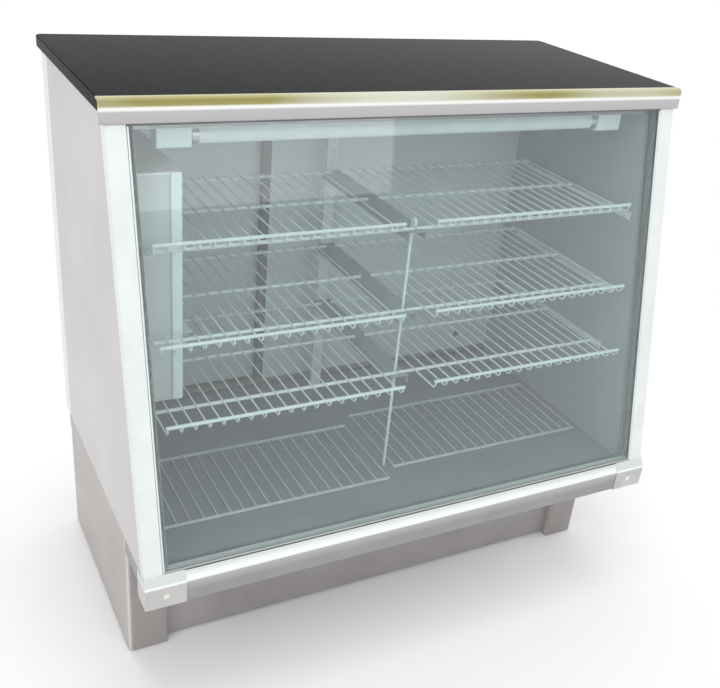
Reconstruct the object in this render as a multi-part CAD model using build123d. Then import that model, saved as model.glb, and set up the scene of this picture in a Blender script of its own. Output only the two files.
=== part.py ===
from build123d import *
from math import cos, radians, sin, sqrt, tan
import os

os.makedirs("parts", exist_ok=True)

# Overall size: X is the length along the counter, Y runs from front to back
counter_width = 1200
counter_depth = 680
counter_height = 1150

# Stone top and the bright nosing on its front edge
slab_thickness = 20
slab_corner_radius = 14
slab_edge_bevel = 1.5
slab_rear_overhang = 13
trim_height = 40
trim_thickness = 3
trim_lip = 14
trim_nose_radius = 8

# Insulated cabinet
body_inset = 8
wall_thickness = 50
floor_height = 325
floor_thickness = 55
ceiling_thickness = 35
front_lean = 12
bumper_depth = 8

# Leaning glass and the posts that hold it
pane_thickness = 4
spacer_thickness = 12
spacer_width = 10
post_width = 35
post_skin = 3
pane_clearance = 0.5
head_rail_depth = 30
head_rail_wall = 2

# Bumper along the sill, with a moulded cap on each end
bumper_drop = 5
bumper_face = 47
bumper_rise = 19
bumper_flange = 25
bumper_flange_thickness = 2.5
cap_wall = 2
cap_length = 78
cap_cheek_depth = 42
cap_cheek_rounding = 12
cap_rounding = 4
bumper_rounding = 3
cap_screw_radius = 6
cap_screw_inset = 40

# Plinth
base_inset = 14
base_front_setback = 172
base_rear_setback = 20
sheet = 1.5
ground_gap = 3
corner_radius = 12
corner_return = 81
corner_lip = 20
rear_return = 30
kick_ground_gap = 5
kick_top_gap = 1.5
kick_flange = 18
tube = 30
frame_side_gap = 8
frame_front_gap = 8
lower_rail_height = 35
mid_beam_x = 180
tube_wall = 2
tray_gap = 4
foot_radius = 20
foot_pad = 8
foot_chamfer = 2
foot_stem = 6
foot_nut = 11
foot_nut_height = 8

# Rear grille and control panel
grille_gap = 4
grille_sheet = 1.2
grille_bottom = 8
grille_top_gap = 4
control_width = 246
louvre_rows = 11
louvre_width = 150
louvre_pitch_x = 170
louvre_pitch_z = 20
louvre_height = 12
louvre_reach = 8
louvre_full_out = 0.8
louvre_full_up = 0.55
panel_seam = 1
thermostat_width = 40
thermostat_height = 32
thermostat_depth = 21
knob_radius = 18
knob_height = 16
knob_dial_height = 6.5
knob_grip_width = 7
knob_grip_margin = 2
knob_grip_rounding = 3
knob_skirt_gap = 0.5
knob_shaft = 3
knob_shaft_length = 9
shaft_clearance = 0.1
control_drop = 71
knob_inset = 182
switch_inset = 92
rocker_width = 13
rocker_height = 20
rocker_tilt = 8
rocker_gap = 0.4
rocker_swing_gap = 1.5
rocker_crest = 3.5
rocker_valley = 1.5
rocker_keel = 3
rocker_depth = 9
bezel_rim = 4
bezel_height = 2
switch_body_depth = 18
switch_body_wall = 1
switch_floor = 2
screw_radius = 4.5
screw_head = 2
screw_inset = 10

# Condensing unit on its tray
tray_inset = 46.5
tray_length = 690
tray_flange = 15
pot_inset = 190
pot_coil_gap = 88.5
pot_radius = 78
pot_height = 150
pot_dome = 32
pot_foot = 16
pot_seam_height = 82
pot_seam_rim = 3
pot_seam_band = 5
pot_plate_width = 188
pot_plate_depth = 132
pot_plate_thickness = 4
pot_plate_lift = 1
pot_mount_radius = 9
pot_mount_inset = 12
terminal_box_width = 60
terminal_box_height = 46
terminal_box_reach = 18
terminal_box_level = 52
condenser_inset = 500
condenser_width = 290
condenser_height = 160
condenser_depth = 40
condenser_fin = 1
condenser_fins = 24
condenser_fin_depth = 4
shroud_depth = 24
fan_radius = 74
fan_hub = 17
fan_hub_length = 20
fan_hub_rounding = 2
fan_blades = 5
blade_root_sink = 3.4
blade_end_margin = 3
root_chord_share = 1.7
tip_chord_share = 0.62
fan_pitch_root = 48
fan_pitch_tip = 24
blade_thickness = 2
fan_tip_clearance = 3
motor_radius = 34
motor_length = 46
motor_chamfer = 5
motor_shaft = 3
motor_gap = 1
motor_leg = 4
motor_leg_width = 40
motor_foot = 3
motor_foot_width = 60
motor_foot_depth = 36
pipe_radius = 5
pipe_bend = 20
pipe_height = 112
pipe_reach = 40
suction_rear_reach = 60
suction_side_reach = 90
gland_radius = 11
gland_bore = 5
gland_length = 14
gland_flange = 5.5
gland_nose_radius = 8.5
gland_nose_rounding = 2
gland_inset = 60
gland_rise = 33

# Sliding rear doors
door_frame_depth = 47
jamb_width = 47
track_leg = 1.5
track_web = 2
track_bottom_leg = 18
door_thickness = 18
door_groove = 8
door_end_gap = 0.5
door_rest_gap = 0.3
door_lift = 10
door_width = 697
door_edge_width = 19
door_edge_rounding = 3
door_pull_corner = 8
door_pull_height = 110
door_pull_width = 32
door_pull_depth = 11
door_pull_inset = 60
door_pull_rise = 435

# Lamp under the front of the ceiling
lamp_setback = 10.4
lamp_holder_height = 43
lamp_holder_width = 60
lamp_holder_depth = 34
lamp_holder_rounding = 6
lamp_side_gap = 46
lamp_radius = 16
lamp_axis_drop = 24
lamp_cap_length = 14
lamp_cap_rim = 0.4
lamp_cap_chamfer = 1.5
lamp_end_gap = 0.3
lamp_pin_radius = 1.2
lamp_pin_offset = 6.4
lamp_pin_length = 6
lamp_socket_depth = 8
lamp_socket_clearance = 0.4
batten_width = 60
batten_thickness = 7
batten_slope = 5

# Wire shelves: drops of the wire plane below the ceiling, from the top shelf down
shelf_drops = [204, 379, 524]
shelf_wire = 3.2
shelf_bar = 6
weld_depth = 0.8
shelf_wires = 19
lip_rise = 16
lip_gap = 12
lip_inner = 35
lip_wall_gap = 19
lip_bend = 7
bar_inner = 1.5
bar_inner_rear = 12
bar_wall_gap = 15
front_bar_gap = 22
rear_bar_gap = 26
wire_tail = 5
wire_margin = 3
rail_width = 24
rail_height = 18
rail_sheet = 1.5
centre_rail_width = 40
rail_front = 12

# Centre rod and upright that carry the middle of the shelves
rod_radius = 3
rod_setback = 12
rod_hole_clearance = 0.3
rod_collar_radius = 6
rod_collar_height = 4
upright_width = 25
upright_depth = 12
upright_setback = 45
upright_slot = 12
upright_slot_width = 3
upright_slot_offset = 4.5
upright_slot_pitch = 50

# Floor racks
rack_depth = 225
rack_setback_right = 175
rack_setback_left = 139
rack_inner = 14
rack_wall_gap = 22
rack_wires = 19
rack_wire_lift = 1

# Evaporator housing on the left wall
housing_reach = 82
housing_setback = 199
housing_rear_gap = 45
housing_top_gap = 75
housing_height = 440
housing_sheet = 1.2
housing_radius = 14
outlet_radius = 52
outlet_drops = [65, 217]
outlet_bars = 9
outlet_bar_gap = 8
intake_rows = 7
intake_pitch = 14
intake_slot = 6
intake_rise = 24
intake_margin = 60
coil_depth = 34
coil_fins = 26
coil_fin = 1
coil_core_depth = 26
coil_gap = 4
coil_rise = 20
coil_top_gap = 16
small_fan_radius = 46
small_fan_hub = 13
small_fan_length = 10
small_pitch_root = 40
small_pitch_tip = 22
small_motor_radius = 20
small_motor_length = 12
small_fan_standoff = 5
motor_strap_width = 30
motor_strap = 2

# Planes and lines that several pieces share
front_y = -counter_depth / 2
back_y = counter_depth / 2
slab_bottom = counter_height - slab_thickness
ceiling_height = slab_bottom - ceiling_thickness
body_half = counter_width / 2 - body_inset
inner_half = body_half - wall_thickness
frame_back = back_y - slab_rear_overhang
wall_back = frame_back - door_frame_depth
floor_bottom = floor_height - floor_thickness
lean = radians(front_lean)
lean_foot = front_y + cap_wall + bumper_depth
lean_up = (0, sin(lean), cos(lean))
glass_depth = post_skin + 2 * pane_thickness + spacer_thickness
trim_bottom = counter_height - trim_height
base_half = counter_width / 2 - base_inset
base_front = front_y + base_front_setback
base_back = back_y - base_rear_setback
post_inner = body_half - post_width
bumper_bottom = floor_bottom - bumper_drop
bumper_top = bumper_bottom + bumper_face + bumper_rise
lane_width = (door_frame_depth - 3 * track_leg) / 2
lamp_span = 2 * (inner_half - lamp_side_gap - lamp_holder_width)
lamp_axis_height = ceiling_height - lamp_axis_drop
shelf_heights = [ceiling_height - drop for drop in shelf_drops]
lip_outer = inner_half - lip_wall_gap
bar_outer = inner_half - bar_wall_gap
upright_y = wall_back - upright_setback
rack_outer = inner_half - rack_wall_gap
housing_side = housing_reach - inner_half
housing_front = lean_foot + housing_setback
housing_rear = wall_back - housing_rear_gap
housing_top = ceiling_height - housing_top_gap
housing_bottom = housing_top - housing_height
outlet_heights = [housing_top - drop for drop in outlet_drops]
coil_bottom = housing_bottom + coil_rise
coil_top = housing_top - coil_top_gap
grille_half = base_half - grille_gap
grille_top = floor_bottom - grille_top_gap
grille_face = base_back + grille_sheet
control_row = grille_top - control_drop
knob_x = grille_half - knob_inset
switch_x = grille_half - switch_inset
plinth_half = base_half - sheet - frame_side_gap
plinth_front = base_front + frame_front_gap
plinth_rear = base_back - sheet - frame_side_gap - tube
plinth_cross = base_front + corner_lip + kick_flange + frame_front_gap
tray_low = lower_rail_height + tube
tray_top = tray_low + sheet
tray_left = tray_inset - plinth_half
tray_right = tray_left + tray_length
coil_back = plinth_rear - tray_gap
coil_front = coil_back - condenser_depth
condenser_x = tray_left + condenser_inset
pot_x = tray_left + pot_inset
pot_y = coil_front - pot_coil_gap - pot_radius
fan_height = tray_top + condenser_height / 2


def lean_y(height, depth=0):
    """Y of the leaning front at a height, or of a plane that lies depth behind it, square to the glass."""
    return lean_foot + (height - floor_height) * tan(lean) + depth / cos(lean)


def lip_y(height):
    """Y of a shelf's lip at a height, just behind the glass."""
    return lean_y(height, glass_depth) + lip_gap


ceiling_front = lean_y(slab_bottom, glass_depth) + head_rail_depth
lamp_y = ceiling_front + lamp_setback
front_bar_y = lip_y(shelf_heights[0] + lip_rise) + front_bar_gap
rear_bar_y = upright_y - rear_bar_gap
rod_y = front_bar_y + rod_setback


def block(x0, x1, y0, y1, z0, z1):
    """Box between two opposite corners."""
    return Pos((x0 + x1) / 2, (y0 + y1) / 2, (z0 + z1) / 2) * Box(x1 - x0, y1 - y0, z1 - z0)


def outline(points, corners=None):
    """Closed straight-sided face, with the corners named by number rounded to their radius."""
    face = make_face(Polyline(*points, close=True))
    for number, radius in (corners or {}).items():
        face = fillet(face.vertices().sort_by_distance(points[number])[0], radius)
    return face


def along_x(face, x0, x1):
    """Solid with a section drawn in Y and Z, running along X."""
    return extrude(Plane.YZ.offset(x0) * face, amount=x1 - x0)


def along_y(face, y0, y1):
    """Solid with a section drawn in X and Z, running along Y."""
    return extrude(Plane.XZ.offset(-y0) * face, amount=y0 - y1)


def along_z(face, z0, z1):
    """Solid with a section drawn in X and Y, standing up from z0 to z1."""
    return extrude(Pos(0, 0, z0) * face, amount=z1 - z0)


def up_the_front(face, z0, z1):
    """Solid whose level section at floor height runs up the leaning front, cut level at both ends."""
    foot = Pos(0, (z0 - floor_height) * tan(lean), z0) * face
    return extrude(foot, amount=(z1 - z0) / cos(lean), dir=lean_up)


def standing(radius, height):
    """Cylinder that stands on Z = 0."""
    return Cylinder(radius, height, align=(Align.CENTER, Align.CENTER, Align.MIN))


def mirrored(piece):
    """The same piece on the other side of the counter."""
    return mirror(piece, about=Plane.YZ)


def across_flats(size):
    """Six-sided section of a wire, with its flats above and below."""
    return RegularPolygon(radius=size / 2, side_count=6, major_radius=False)


def save(name, *solids):
    """Write one node, joining nothing: each solid in it stays separate."""
    shape = solids[0] if len(solids) == 1 else Compound(children=[Part() + solid for solid in solids])
    export_step(shape, f"parts/{name}.step")


def counter_top():
    nose = trim_nose_radius - trim_thickness
    front = lean_y(trim_bottom)
    section = [
        (front, slab_bottom),
        (back_y, slab_bottom),
        (back_y, counter_height),
        (front + trim_lip, counter_height),
        (front + trim_lip, counter_height - trim_thickness),
        (front, counter_height - trim_thickness),
    ]
    slab = along_x(outline(section, {5: nose}), -counter_width / 2, counter_width / 2)
    slab = fillet(slab.edges().filter_by(Axis.Z).group_by(Axis.Y)[-1], slab_corner_radius)
    top_edges = slab.faces().sort_by(Axis.Z)[-1].edges()
    eased = [edge for edge in top_edges if edge.center().Y > front + trim_lip + 1]
    return chamfer(eased, slab_edge_bevel)


def front_trim():
    front = lean_y(trim_bottom)
    face = front - trim_thickness
    section = [
        (face, trim_bottom),
        (face, counter_height),
        (front + trim_lip, counter_height),
        (front + trim_lip, counter_height - trim_thickness),
        (front, counter_height - trim_thickness),
        (front, trim_bottom),
    ]
    corners = {1: trim_nose_radius, 4: trim_nose_radius - trim_thickness}
    return along_x(outline(section, corners), -counter_width / 2, counter_width / 2)


def side_wall():
    """Right-hand insulated wall, with the nose that the post clips over."""
    section = [
        (lean_y(floor_height, glass_depth), floor_height),
        (wall_back, floor_height),
        (wall_back, slab_bottom),
        (lean_y(slab_bottom, glass_depth), slab_bottom),
    ]
    wall = along_x(outline(section), inner_half, body_half)
    nose_front = lean_y(floor_height, post_skin)
    nose_back = lean_y(floor_height, glass_depth)
    x0 = post_inner + post_skin
    x1 = body_half - post_skin
    nose = outline([(x0, nose_front), (x1, nose_front), (x1, nose_back), (x0, nose_back)])
    return wall + up_the_front(nose, floor_height, slab_bottom)


def front_post():
    """Right-hand post: a channel with rounded front edges, clipped over the nose of the wall."""
    face = lean_y(floor_height)
    web = lean_y(floor_height, post_skin)
    back = lean_y(floor_height, glass_depth)
    section = [
        (post_inner, face),
        (body_half, face),
        (body_half, back),
        (body_half - post_skin, back),
        (body_half - post_skin, web),
        (post_inner + post_skin, web),
        (post_inner + post_skin, back),
        (post_inner, back),
    ]
    rounding = post_skin - 0.5
    return up_the_front(outline(section, {0: rounding, 1: rounding}), floor_height, slab_bottom)


def glass_slab(depth, thickness, margin=0):
    """Sheet parallel to the leaning front, its face lying depth behind it, inset all round by margin."""
    plane = Plane(origin=(0, lean_foot, floor_height), x_dir=(1, 0, 0), z_dir=(0, -cos(lean), sin(lean)))
    low = (door_rest_gap + glass_depth * sin(lean)) / cos(lean) + margin
    high = (slab_bottom - floor_height - pane_clearance + post_skin * sin(lean)) / cos(lean) - margin
    side = post_inner - pane_clearance - margin
    return plane * block(-side, side, low, high, -depth - thickness, -depth)


def glass_spacer():
    depth = post_skin + pane_thickness
    return glass_slab(depth, spacer_thickness) - glass_slab(depth, spacer_thickness, spacer_width)


def head_rail():
    """Hollow rail behind the top of the glass, its front face leaning with it."""
    section = outline([
        (lean_y(ceiling_height, glass_depth), ceiling_height),
        (ceiling_front, ceiling_height),
        (ceiling_front, slab_bottom),
        (lean_y(slab_bottom, glass_depth), slab_bottom),
    ])
    hollow = offset(section, -head_rail_wall, kind=Kind.INTERSECTION)
    return along_x(section - hollow, -inner_half, inner_half)


def ceiling_panel():
    return block(-inner_half, inner_half, ceiling_front, wall_back, ceiling_height, slab_bottom)


def floor_pan():
    """Insulated floor of the cabinet, from the sill to the back of the door frame."""
    half = base_half - sheet
    section = [
        (lean_foot, floor_bottom),
        (frame_back, floor_bottom),
        (frame_back, floor_height),
        (lean_foot, floor_height),
    ]
    return along_x(outline(section), -half, half)


def bumper_section(wall=0):
    """Points of the bumper's section, thickened outwards by wall."""
    face = front_y + cap_wall - wall
    top = bumper_top + wall
    return [
        (lean_foot, bumper_bottom - wall),
        (face, bumper_bottom - wall),
        (face, bumper_bottom + bumper_face + wall / 2),
        (lean_y(top), top),
        (lean_foot, floor_height),
    ]


def bumper_rail():
    rounding = {1: bumper_rounding, 2: bumper_rounding}
    body = along_x(outline(bumper_section(), rounding), -body_half, body_half)
    flange_top = bumper_bottom + bumper_flange_thickness
    flange = block(-body_half, body_half, lean_foot, lean_foot + bumper_flange, bumper_bottom, flange_top)
    return body + flange


def bumper_cap():
    """Right-hand moulded cap: a skin over the end of the rail and a cheek beside the plinth."""
    end = body_half + cap_wall
    outer = outline(bumper_section(cap_wall), {1: cap_rounding, 2: cap_rounding})
    inner = outline(bumper_section(), {1: bumper_rounding, 2: bumper_rounding})
    skin = along_x(outer, end - cap_length, end)
    core = along_x(inner, end - cap_length - 1, body_half)
    cheek_back = lean_foot + cap_cheek_depth
    low = bumper_bottom - cap_wall
    cheek = [(lean_foot, low), (cheek_back, low), (cheek_back, floor_height), (lean_foot, floor_height)]
    cheek_side = along_x(outline(cheek, {1: cap_cheek_rounding}), body_half, end)
    return skin - core + cheek_side


def cap_screws():
    """One domed screw in the face of each cap."""
    height = bumper_bottom + bumper_face / 2
    x = body_half + cap_wall - cap_screw_inset
    dome = Pos(x, front_y, height) * Rot(90, 0, 0) * dome_head(cap_screw_radius, cap_wall)
    return [dome, mirrored(dome)]


def dome_head(radius, height):
    """Low domed head standing on Z = 0."""
    sphere = (radius ** 2 + height ** 2) / (2 * height)
    arc = RadiusArc((radius, 0), (0, height), -sphere)
    face = make_face([Line((0, 0), (radius, 0)), arc, Line((0, height), (0, 0))])
    return revolve(Plane.XZ * face, axis=Axis.Z)


def base_side():
    """Right-hand plinth side, folded from one sheet with a return at the front corner and at the back."""
    inner = base_half - corner_return
    strip = [
        (inner, base_front),
        (base_half, base_front),
        (base_half, base_back),
        (base_half - rear_return, base_back),
        (base_half - rear_return, base_back - sheet),
        (base_half - sheet, base_back - sheet),
        (base_half - sheet, base_front + sheet),
        (inner + sheet, base_front + sheet),
        (inner + sheet, base_front + corner_lip),
        (inner, base_front + corner_lip),
    ]
    bends = {1: corner_radius, 6: corner_radius - sheet}
    folded = along_z(outline(strip, bends), ground_gap, floor_bottom)
    tongue_front = lean_foot + cap_cheek_depth
    tongue = block(base_half - sheet, base_half, tongue_front, frame_back, floor_bottom, floor_height)
    return folded + tongue


def kick_plate():
    """Recessed front plate with a flange folded back along its top and bottom."""
    half = base_half - corner_return + sheet
    face = base_front + corner_lip
    low = kick_ground_gap
    high = floor_bottom - kick_top_gap
    section = [
        (face, low),
        (face + kick_flange, low),
        (face + kick_flange, low + sheet),
        (face + sheet, low + sheet),
        (face + sheet, high - sheet),
        (face + kick_flange, high - sheet),
        (face + kick_flange, high),
        (face, high),
    ]
    return along_x(outline(section), -half, half)


def plinth_bars(wall=0):
    """Square bars of the plinth frame, thinned all round by wall: four legs, two rings and two beams."""
    half = plinth_half - wall
    front = plinth_front + wall
    rear = plinth_rear + tube - wall
    bar = tube - 2 * wall
    low = lower_rail_height + wall
    high = floor_bottom - wall
    bars = Part()
    for level in (low, high - bar):
        for y in (plinth_cross + wall, rear - bar):
            bars += block(-half, half, y, y + bar, level, level + bar)
        for x in (-half, half - bar):
            bars += block(x, x + bar, front, rear, level, level + bar)
    for x in (-half, half - bar):
        for y in (front, rear - bar):
            bars += block(x, x + bar, y, y + bar, low, high)
    for x in (-mid_beam_x, mid_beam_x):
        bars += block(x - bar / 2, x + bar / 2, plinth_cross + wall, rear, high - bar, high)
    return bars


def base_frame():
    """Welded frame of square tube, closed at every joint."""
    return plinth_bars() - plinth_bars(tube_wall)


def levelling_feet():
    """Screw foot with a round pad and a lock nut under each leg."""
    nut = extrude(across_flats(2 * foot_nut), amount=foot_nut_height)
    foot = standing(foot_radius, foot_pad)
    foot = chamfer(foot.edges().group_by(Axis.Z)[-1], foot_chamfer)
    foot += standing(foot_stem, lower_rail_height)
    foot += Pos(0, 0, lower_rail_height - foot_nut_height) * nut
    feet = []
    for x in (-plinth_half + tube / 2, plinth_half - tube / 2):
        for y in (plinth_front + tube / 2, plinth_rear + tube / 2):
            feet.append(Pos(x, y, 0) * foot)
    return feet


def louvre_hood(shrink):
    """Section of a louvre's hood about the outer face of the sheet, or of the space under it."""
    root = -grille_sheet / 2
    edge = louvre_reach - shrink
    top = louvre_height - shrink
    low = -shrink / 4
    arc = ThreePointArc((root, top), (edge * louvre_full_out, top * louvre_full_up), (edge, low))
    return make_face([arc, Line((edge, low), (root, low)), Line((root, low), (root, top))])


def louvre():
    """Pressed hood of one louvre on the outer face of the sheet, and the slot behind it."""
    wall = grille_sheet
    half = louvre_width / 2
    outer = along_x(louvre_hood(0), -half, half)
    inner = along_x(louvre_hood(wall), -half + wall, half - wall)
    slot = block(-half + wall, half - wall, -2 * wall, 0, 0, louvre_height - 2 * wall)
    return outer - inner, slot


def rear_grille():
    """Louvred sheet over the back of the machine space."""
    right = grille_half - control_width
    plate = block(-grille_half, right, base_back, grille_face, grille_bottom, grille_top)
    hood, slot = louvre()
    columns = int((right + grille_half) / louvre_pitch_x)
    first_x = (right - grille_half - louvre_pitch_x * (columns - 1)) / 2
    first_z = (grille_bottom + grille_top - louvre_pitch_z * (louvre_rows - 1) - louvre_height) / 2
    places = []
    for column in range(columns):
        for row in range(louvre_rows):
            x = first_x + column * louvre_pitch_x
            places.append(Pos(x, grille_face, first_z + row * louvre_pitch_z))
    plate = plate - [place * slot for place in places]
    return plate + [place * hood for place in places]


def around_rocker(margin, y0, y1):
    """Block about the rocker, wider than it by margin on each side."""
    half_x = rocker_width / 2 + rocker_gap + margin
    half_z = rocker_height / 2 + rocker_swing_gap + margin
    return Pos(switch_x, 0, control_row) * block(-half_x, half_x, y0, y1, -half_z, half_z)


def control_panel():
    """Plate beside the grille, with the thermostat and the switch body behind it."""
    left = grille_half - control_width + panel_seam
    plate = block(left, grille_half, base_back, grille_face, grille_bottom, grille_top)
    plate -= gland_place() * Rot(90, 0, 0) * Cylinder(gland_bore, gland_length)
    thermostat = Pos(knob_x, base_back - thermostat_depth / 2, control_row)
    plate += thermostat * Box(thermostat_width, thermostat_depth, thermostat_height)
    socket = Rot(90, 0, 0) * Cylinder(knob_shaft + shaft_clearance, 2 * knob_shaft_length)
    plate -= Pos(knob_x, base_back, control_row) * socket
    bezel_front = grille_face + bezel_height
    body_back = base_back - switch_body_depth
    plate += around_rocker(bezel_rim, grille_face, bezel_front)
    plate += around_rocker(switch_body_wall, body_back, grille_face)
    return plate - around_rocker(0, body_back + switch_floor, bezel_front + 1)


def thermostat_knob():
    """Round dial with a raised grip bar, on a shaft that turns in the panel."""
    dial = standing(knob_radius, knob_dial_height)
    dial = chamfer(dial.edges().group_by(Axis.Z)[-1], 1)
    grip_length = 2 * (knob_radius - knob_grip_margin)
    grip = Box(knob_grip_width, grip_length, knob_height, align=(Align.CENTER, Align.CENTER, Align.MIN))
    grip = fillet(grip.edges().filter_by(Axis.Z), knob_grip_rounding)
    shaft = Pos(0, 0, -knob_shaft_length) * standing(knob_shaft, knob_shaft_length)
    return Pos(knob_x, grille_face + knob_skirt_gap, control_row) * Rot(-90, 0, 0) * (dial + grip + shaft)


def light_switch():
    """Rocker with a shallow V front, tilted to one side about its pivot."""
    half = rocker_height / 2
    front = [
        (0, -half),
        (rocker_crest, -half),
        (rocker_valley, 0),
        (rocker_crest, half),
        (0, half),
        (rocker_keel - rocker_depth, rocker_keel),
        (-rocker_depth, 0),
        (rocker_keel - rocker_depth, -rocker_keel),
    ]
    rocker = along_x(outline(front), -rocker_width / 2, rocker_width / 2)
    return Pos(switch_x, grille_face, control_row) * Rot(rocker_tilt, 0, 0) * rocker


def panel_screws():
    """Low-headed screws at the corners of the grille and of the control panel."""
    seam = grille_half - control_width
    left_column = -grille_half + screw_inset
    right_column = grille_half - screw_inset
    head = Rot(-90, 0, 0) * dome_head(screw_radius, screw_head)
    screws = []
    for x in (left_column, seam - screw_inset, seam + panel_seam + screw_inset, right_column):
        for z in (grille_bottom + screw_inset, grille_top - screw_inset):
            screws.append(Pos(x, grille_face, z) * head)
    return screws


def gland_place():
    """Where the gland sits on the outer face of the control panel."""
    return Pos(grille_half - gland_inset, grille_face, grille_bottom + gland_rise)


def cord_gland():
    """Cable gland on the lower corner of the control panel."""
    nose = standing(gland_nose_radius, gland_length)
    nose = fillet(nose.edges().group_by(Axis.Z)[-1], gland_nose_rounding)
    bore = Cylinder(gland_bore, 4 * gland_length)
    return gland_place() * Rot(-90, 0, 0) * (standing(gland_radius, gland_flange) + nose - bore)


def unit_tray():
    """Folded tray across the lower rails, which carries the machinery."""
    front = plinth_cross + tray_gap
    back = plinth_rear + tube - tray_gap
    section = [
        (front, tray_low),
        (back, tray_low),
        (back, tray_low + tray_flange),
        (back - sheet, tray_low + tray_flange),
        (back - sheet, tray_top),
        (front + sheet, tray_top),
        (front + sheet, tray_low + tray_flange),
        (front, tray_low + tray_flange),
    ]
    return along_x(outline(section), tray_left, tray_right)


def compressor():
    """Welded pot on a foot plate with four rubber mounts, and its terminal box."""
    pot = fillet(standing(pot_radius, pot_height).edges().filter_by(GeomType.CIRCLE), pot_dome)
    seam = Pos(0, 0, pot_seam_height) * Cylinder(pot_radius + pot_seam_rim, pot_seam_band)
    plate_middle = pot_plate_lift + pot_plate_thickness / 2
    plate = Pos(0, 0, plate_middle) * Box(pot_plate_width, pot_plate_depth, pot_plate_thickness)
    mount = standing(pot_mount_radius, pot_foot + pot_plate_lift)
    mounts = []
    for x in (-1, 1):
        for y in (-1, 1):
            mount_x = x * (pot_plate_width / 2 - pot_mount_inset)
            mount_y = y * (pot_plate_depth / 2 - pot_mount_inset)
            mounts.append(Pos(mount_x, mount_y, -pot_foot) * mount)
    box = Box(2 * terminal_box_reach, terminal_box_width, terminal_box_height)
    box = Pos(-pot_radius, 0, terminal_box_level) * box
    return Pos(pot_x, pot_y, tray_top + pot_foot) * (pot + seam + plate + mounts + box)


def condenser_coil():
    """Finned block between two end plates, standing on the tray in front of the grille."""
    x0 = condenser_x - condenser_width / 2
    x1 = condenser_x + condenser_width / 2
    high = tray_top + condenser_height
    core = block(x0, x1, coil_front + condenser_fin_depth, coil_back - condenser_fin_depth, tray_top, high)
    pitch = condenser_width / (condenser_fins - 1)
    fins = []
    for number in range(condenser_fins):
        x = x0 + number * pitch - condenser_fin / 2
        fins.append(block(x, x + condenser_fin, coil_front, coil_back, tray_top, high))
    return core + fins


def fan_place():
    """Centre of the condenser fan, on the front face of the shroud."""
    return Pos(condenser_x, coil_front - shroud_depth, fan_height)


def fan_shroud():
    """Box-shaped cowl with a round throat, standing in front of the coil."""
    half_x = condenser_width / 2
    half_z = condenser_height / 2
    box = block(-half_x, half_x, 0, shroud_depth, -half_z, half_z)
    hollow_x = half_x - sheet
    hollow_z = half_z - sheet
    hollow = block(-hollow_x, hollow_x, sheet, shroud_depth + 1, -hollow_z, hollow_z)
    throat = Rot(90, 0, 0) * Cylinder(fan_radius + fan_tip_clearance, 4 * sheet)
    return fan_place() * (box - hollow - throat)


def fan(radius, hub_radius, length, pitch_root, pitch_tip):
    """Axial fan about Z: a bored hub and blades that twist from root to tip."""
    hub = Cylinder(hub_radius, length)
    hub = fillet(hub.edges().group_by(Axis.Z)[-1], fan_hub_rounding)
    blade_length = length - blade_end_margin
    root_chord = min(blade_length / sin(radians(pitch_root)), root_chord_share * hub_radius)
    tip_chord = min(blade_length / sin(radians(pitch_tip)), tip_chord_share * radius)
    root = Rot(0, 0, pitch_root) * Rectangle(root_chord, blade_thickness)
    tip = Rot(0, 0, pitch_tip) * Rectangle(tip_chord, blade_thickness)
    blade = loft([Pos(0, 0, hub_radius - blade_root_sink) * root, Pos(0, 0, radius) * tip], ruled=True)
    blade = Rot(90, 0, 0) * blade & Cylinder(radius, 2 * length)
    rotor = hub
    for number in range(fan_blades):
        rotor += Rot(0, 0, number * 360 / fan_blades) * blade
    return rotor - Cylinder(motor_shaft + shaft_clearance, 2 * length)


def condenser_fan():
    rotor = fan(fan_radius, fan_hub, fan_hub_length, fan_pitch_root, fan_pitch_tip)
    return fan_place() * Rot(90, 0, 0) * rotor


def condenser_fan_motor():
    """Motor with its shaft, on a foot that stands on the tray."""
    back = -fan_hub_length / 2 - motor_gap
    middle = back - motor_length / 2
    body = Pos(0, middle, 0) * Rot(90, 0, 0) * Cylinder(motor_radius, motor_length)
    body = chamfer(body.edges().group_by(Axis.Y)[0], motor_chamfer)
    shaft = Pos(0, -motor_gap, 0) * Rot(90, 0, 0) * Cylinder(motor_shaft, fan_hub_length)
    low = -condenser_height / 2
    half_leg = motor_leg_width / 2
    leg = block(-half_leg, half_leg, middle - motor_leg / 2, middle + motor_leg / 2, low, 0)
    half_foot = motor_foot_width / 2
    foot_y = motor_foot_depth / 2
    foot = block(-half_foot, half_foot, middle - foot_y, middle + foot_y, low, low + motor_foot)
    return fan_place() * (body + shaft + leg + foot)


def refrigerant_pipes():
    """Discharge pipe from the pot to the coil, and the suction pipe that rises into the floor."""
    high = tray_top + pipe_height
    pot_side = pot_x + pot_radius
    pot_rear = pot_y + pot_radius
    coil_side = condenser_x - condenser_width / 2 - condenser_fin / 2
    coil_y = (coil_front + coil_back) / 2
    suction_y = pot_rear + suction_rear_reach
    suction_x = pot_x - suction_side_reach
    discharge = [
        (pot_side, pot_y, high),
        (pot_side + pipe_reach, pot_y, high),
        (pot_side + pipe_reach, coil_y, high),
        (coil_side, coil_y, high),
    ]
    suction = [
        (pot_x, pot_rear, high),
        (pot_x, suction_y, high),
        (suction_x, suction_y, high),
        (suction_x, suction_y, floor_bottom),
    ]
    pipes = []
    for route in (discharge, suction):
        path = FilletPolyline(*route, radius=pipe_bend)
        section = Plane(origin=path @ 0, z_dir=path % 0) * Circle(pipe_radius)
        pipes.append(sweep(section, path=path))
    return pipes


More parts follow.
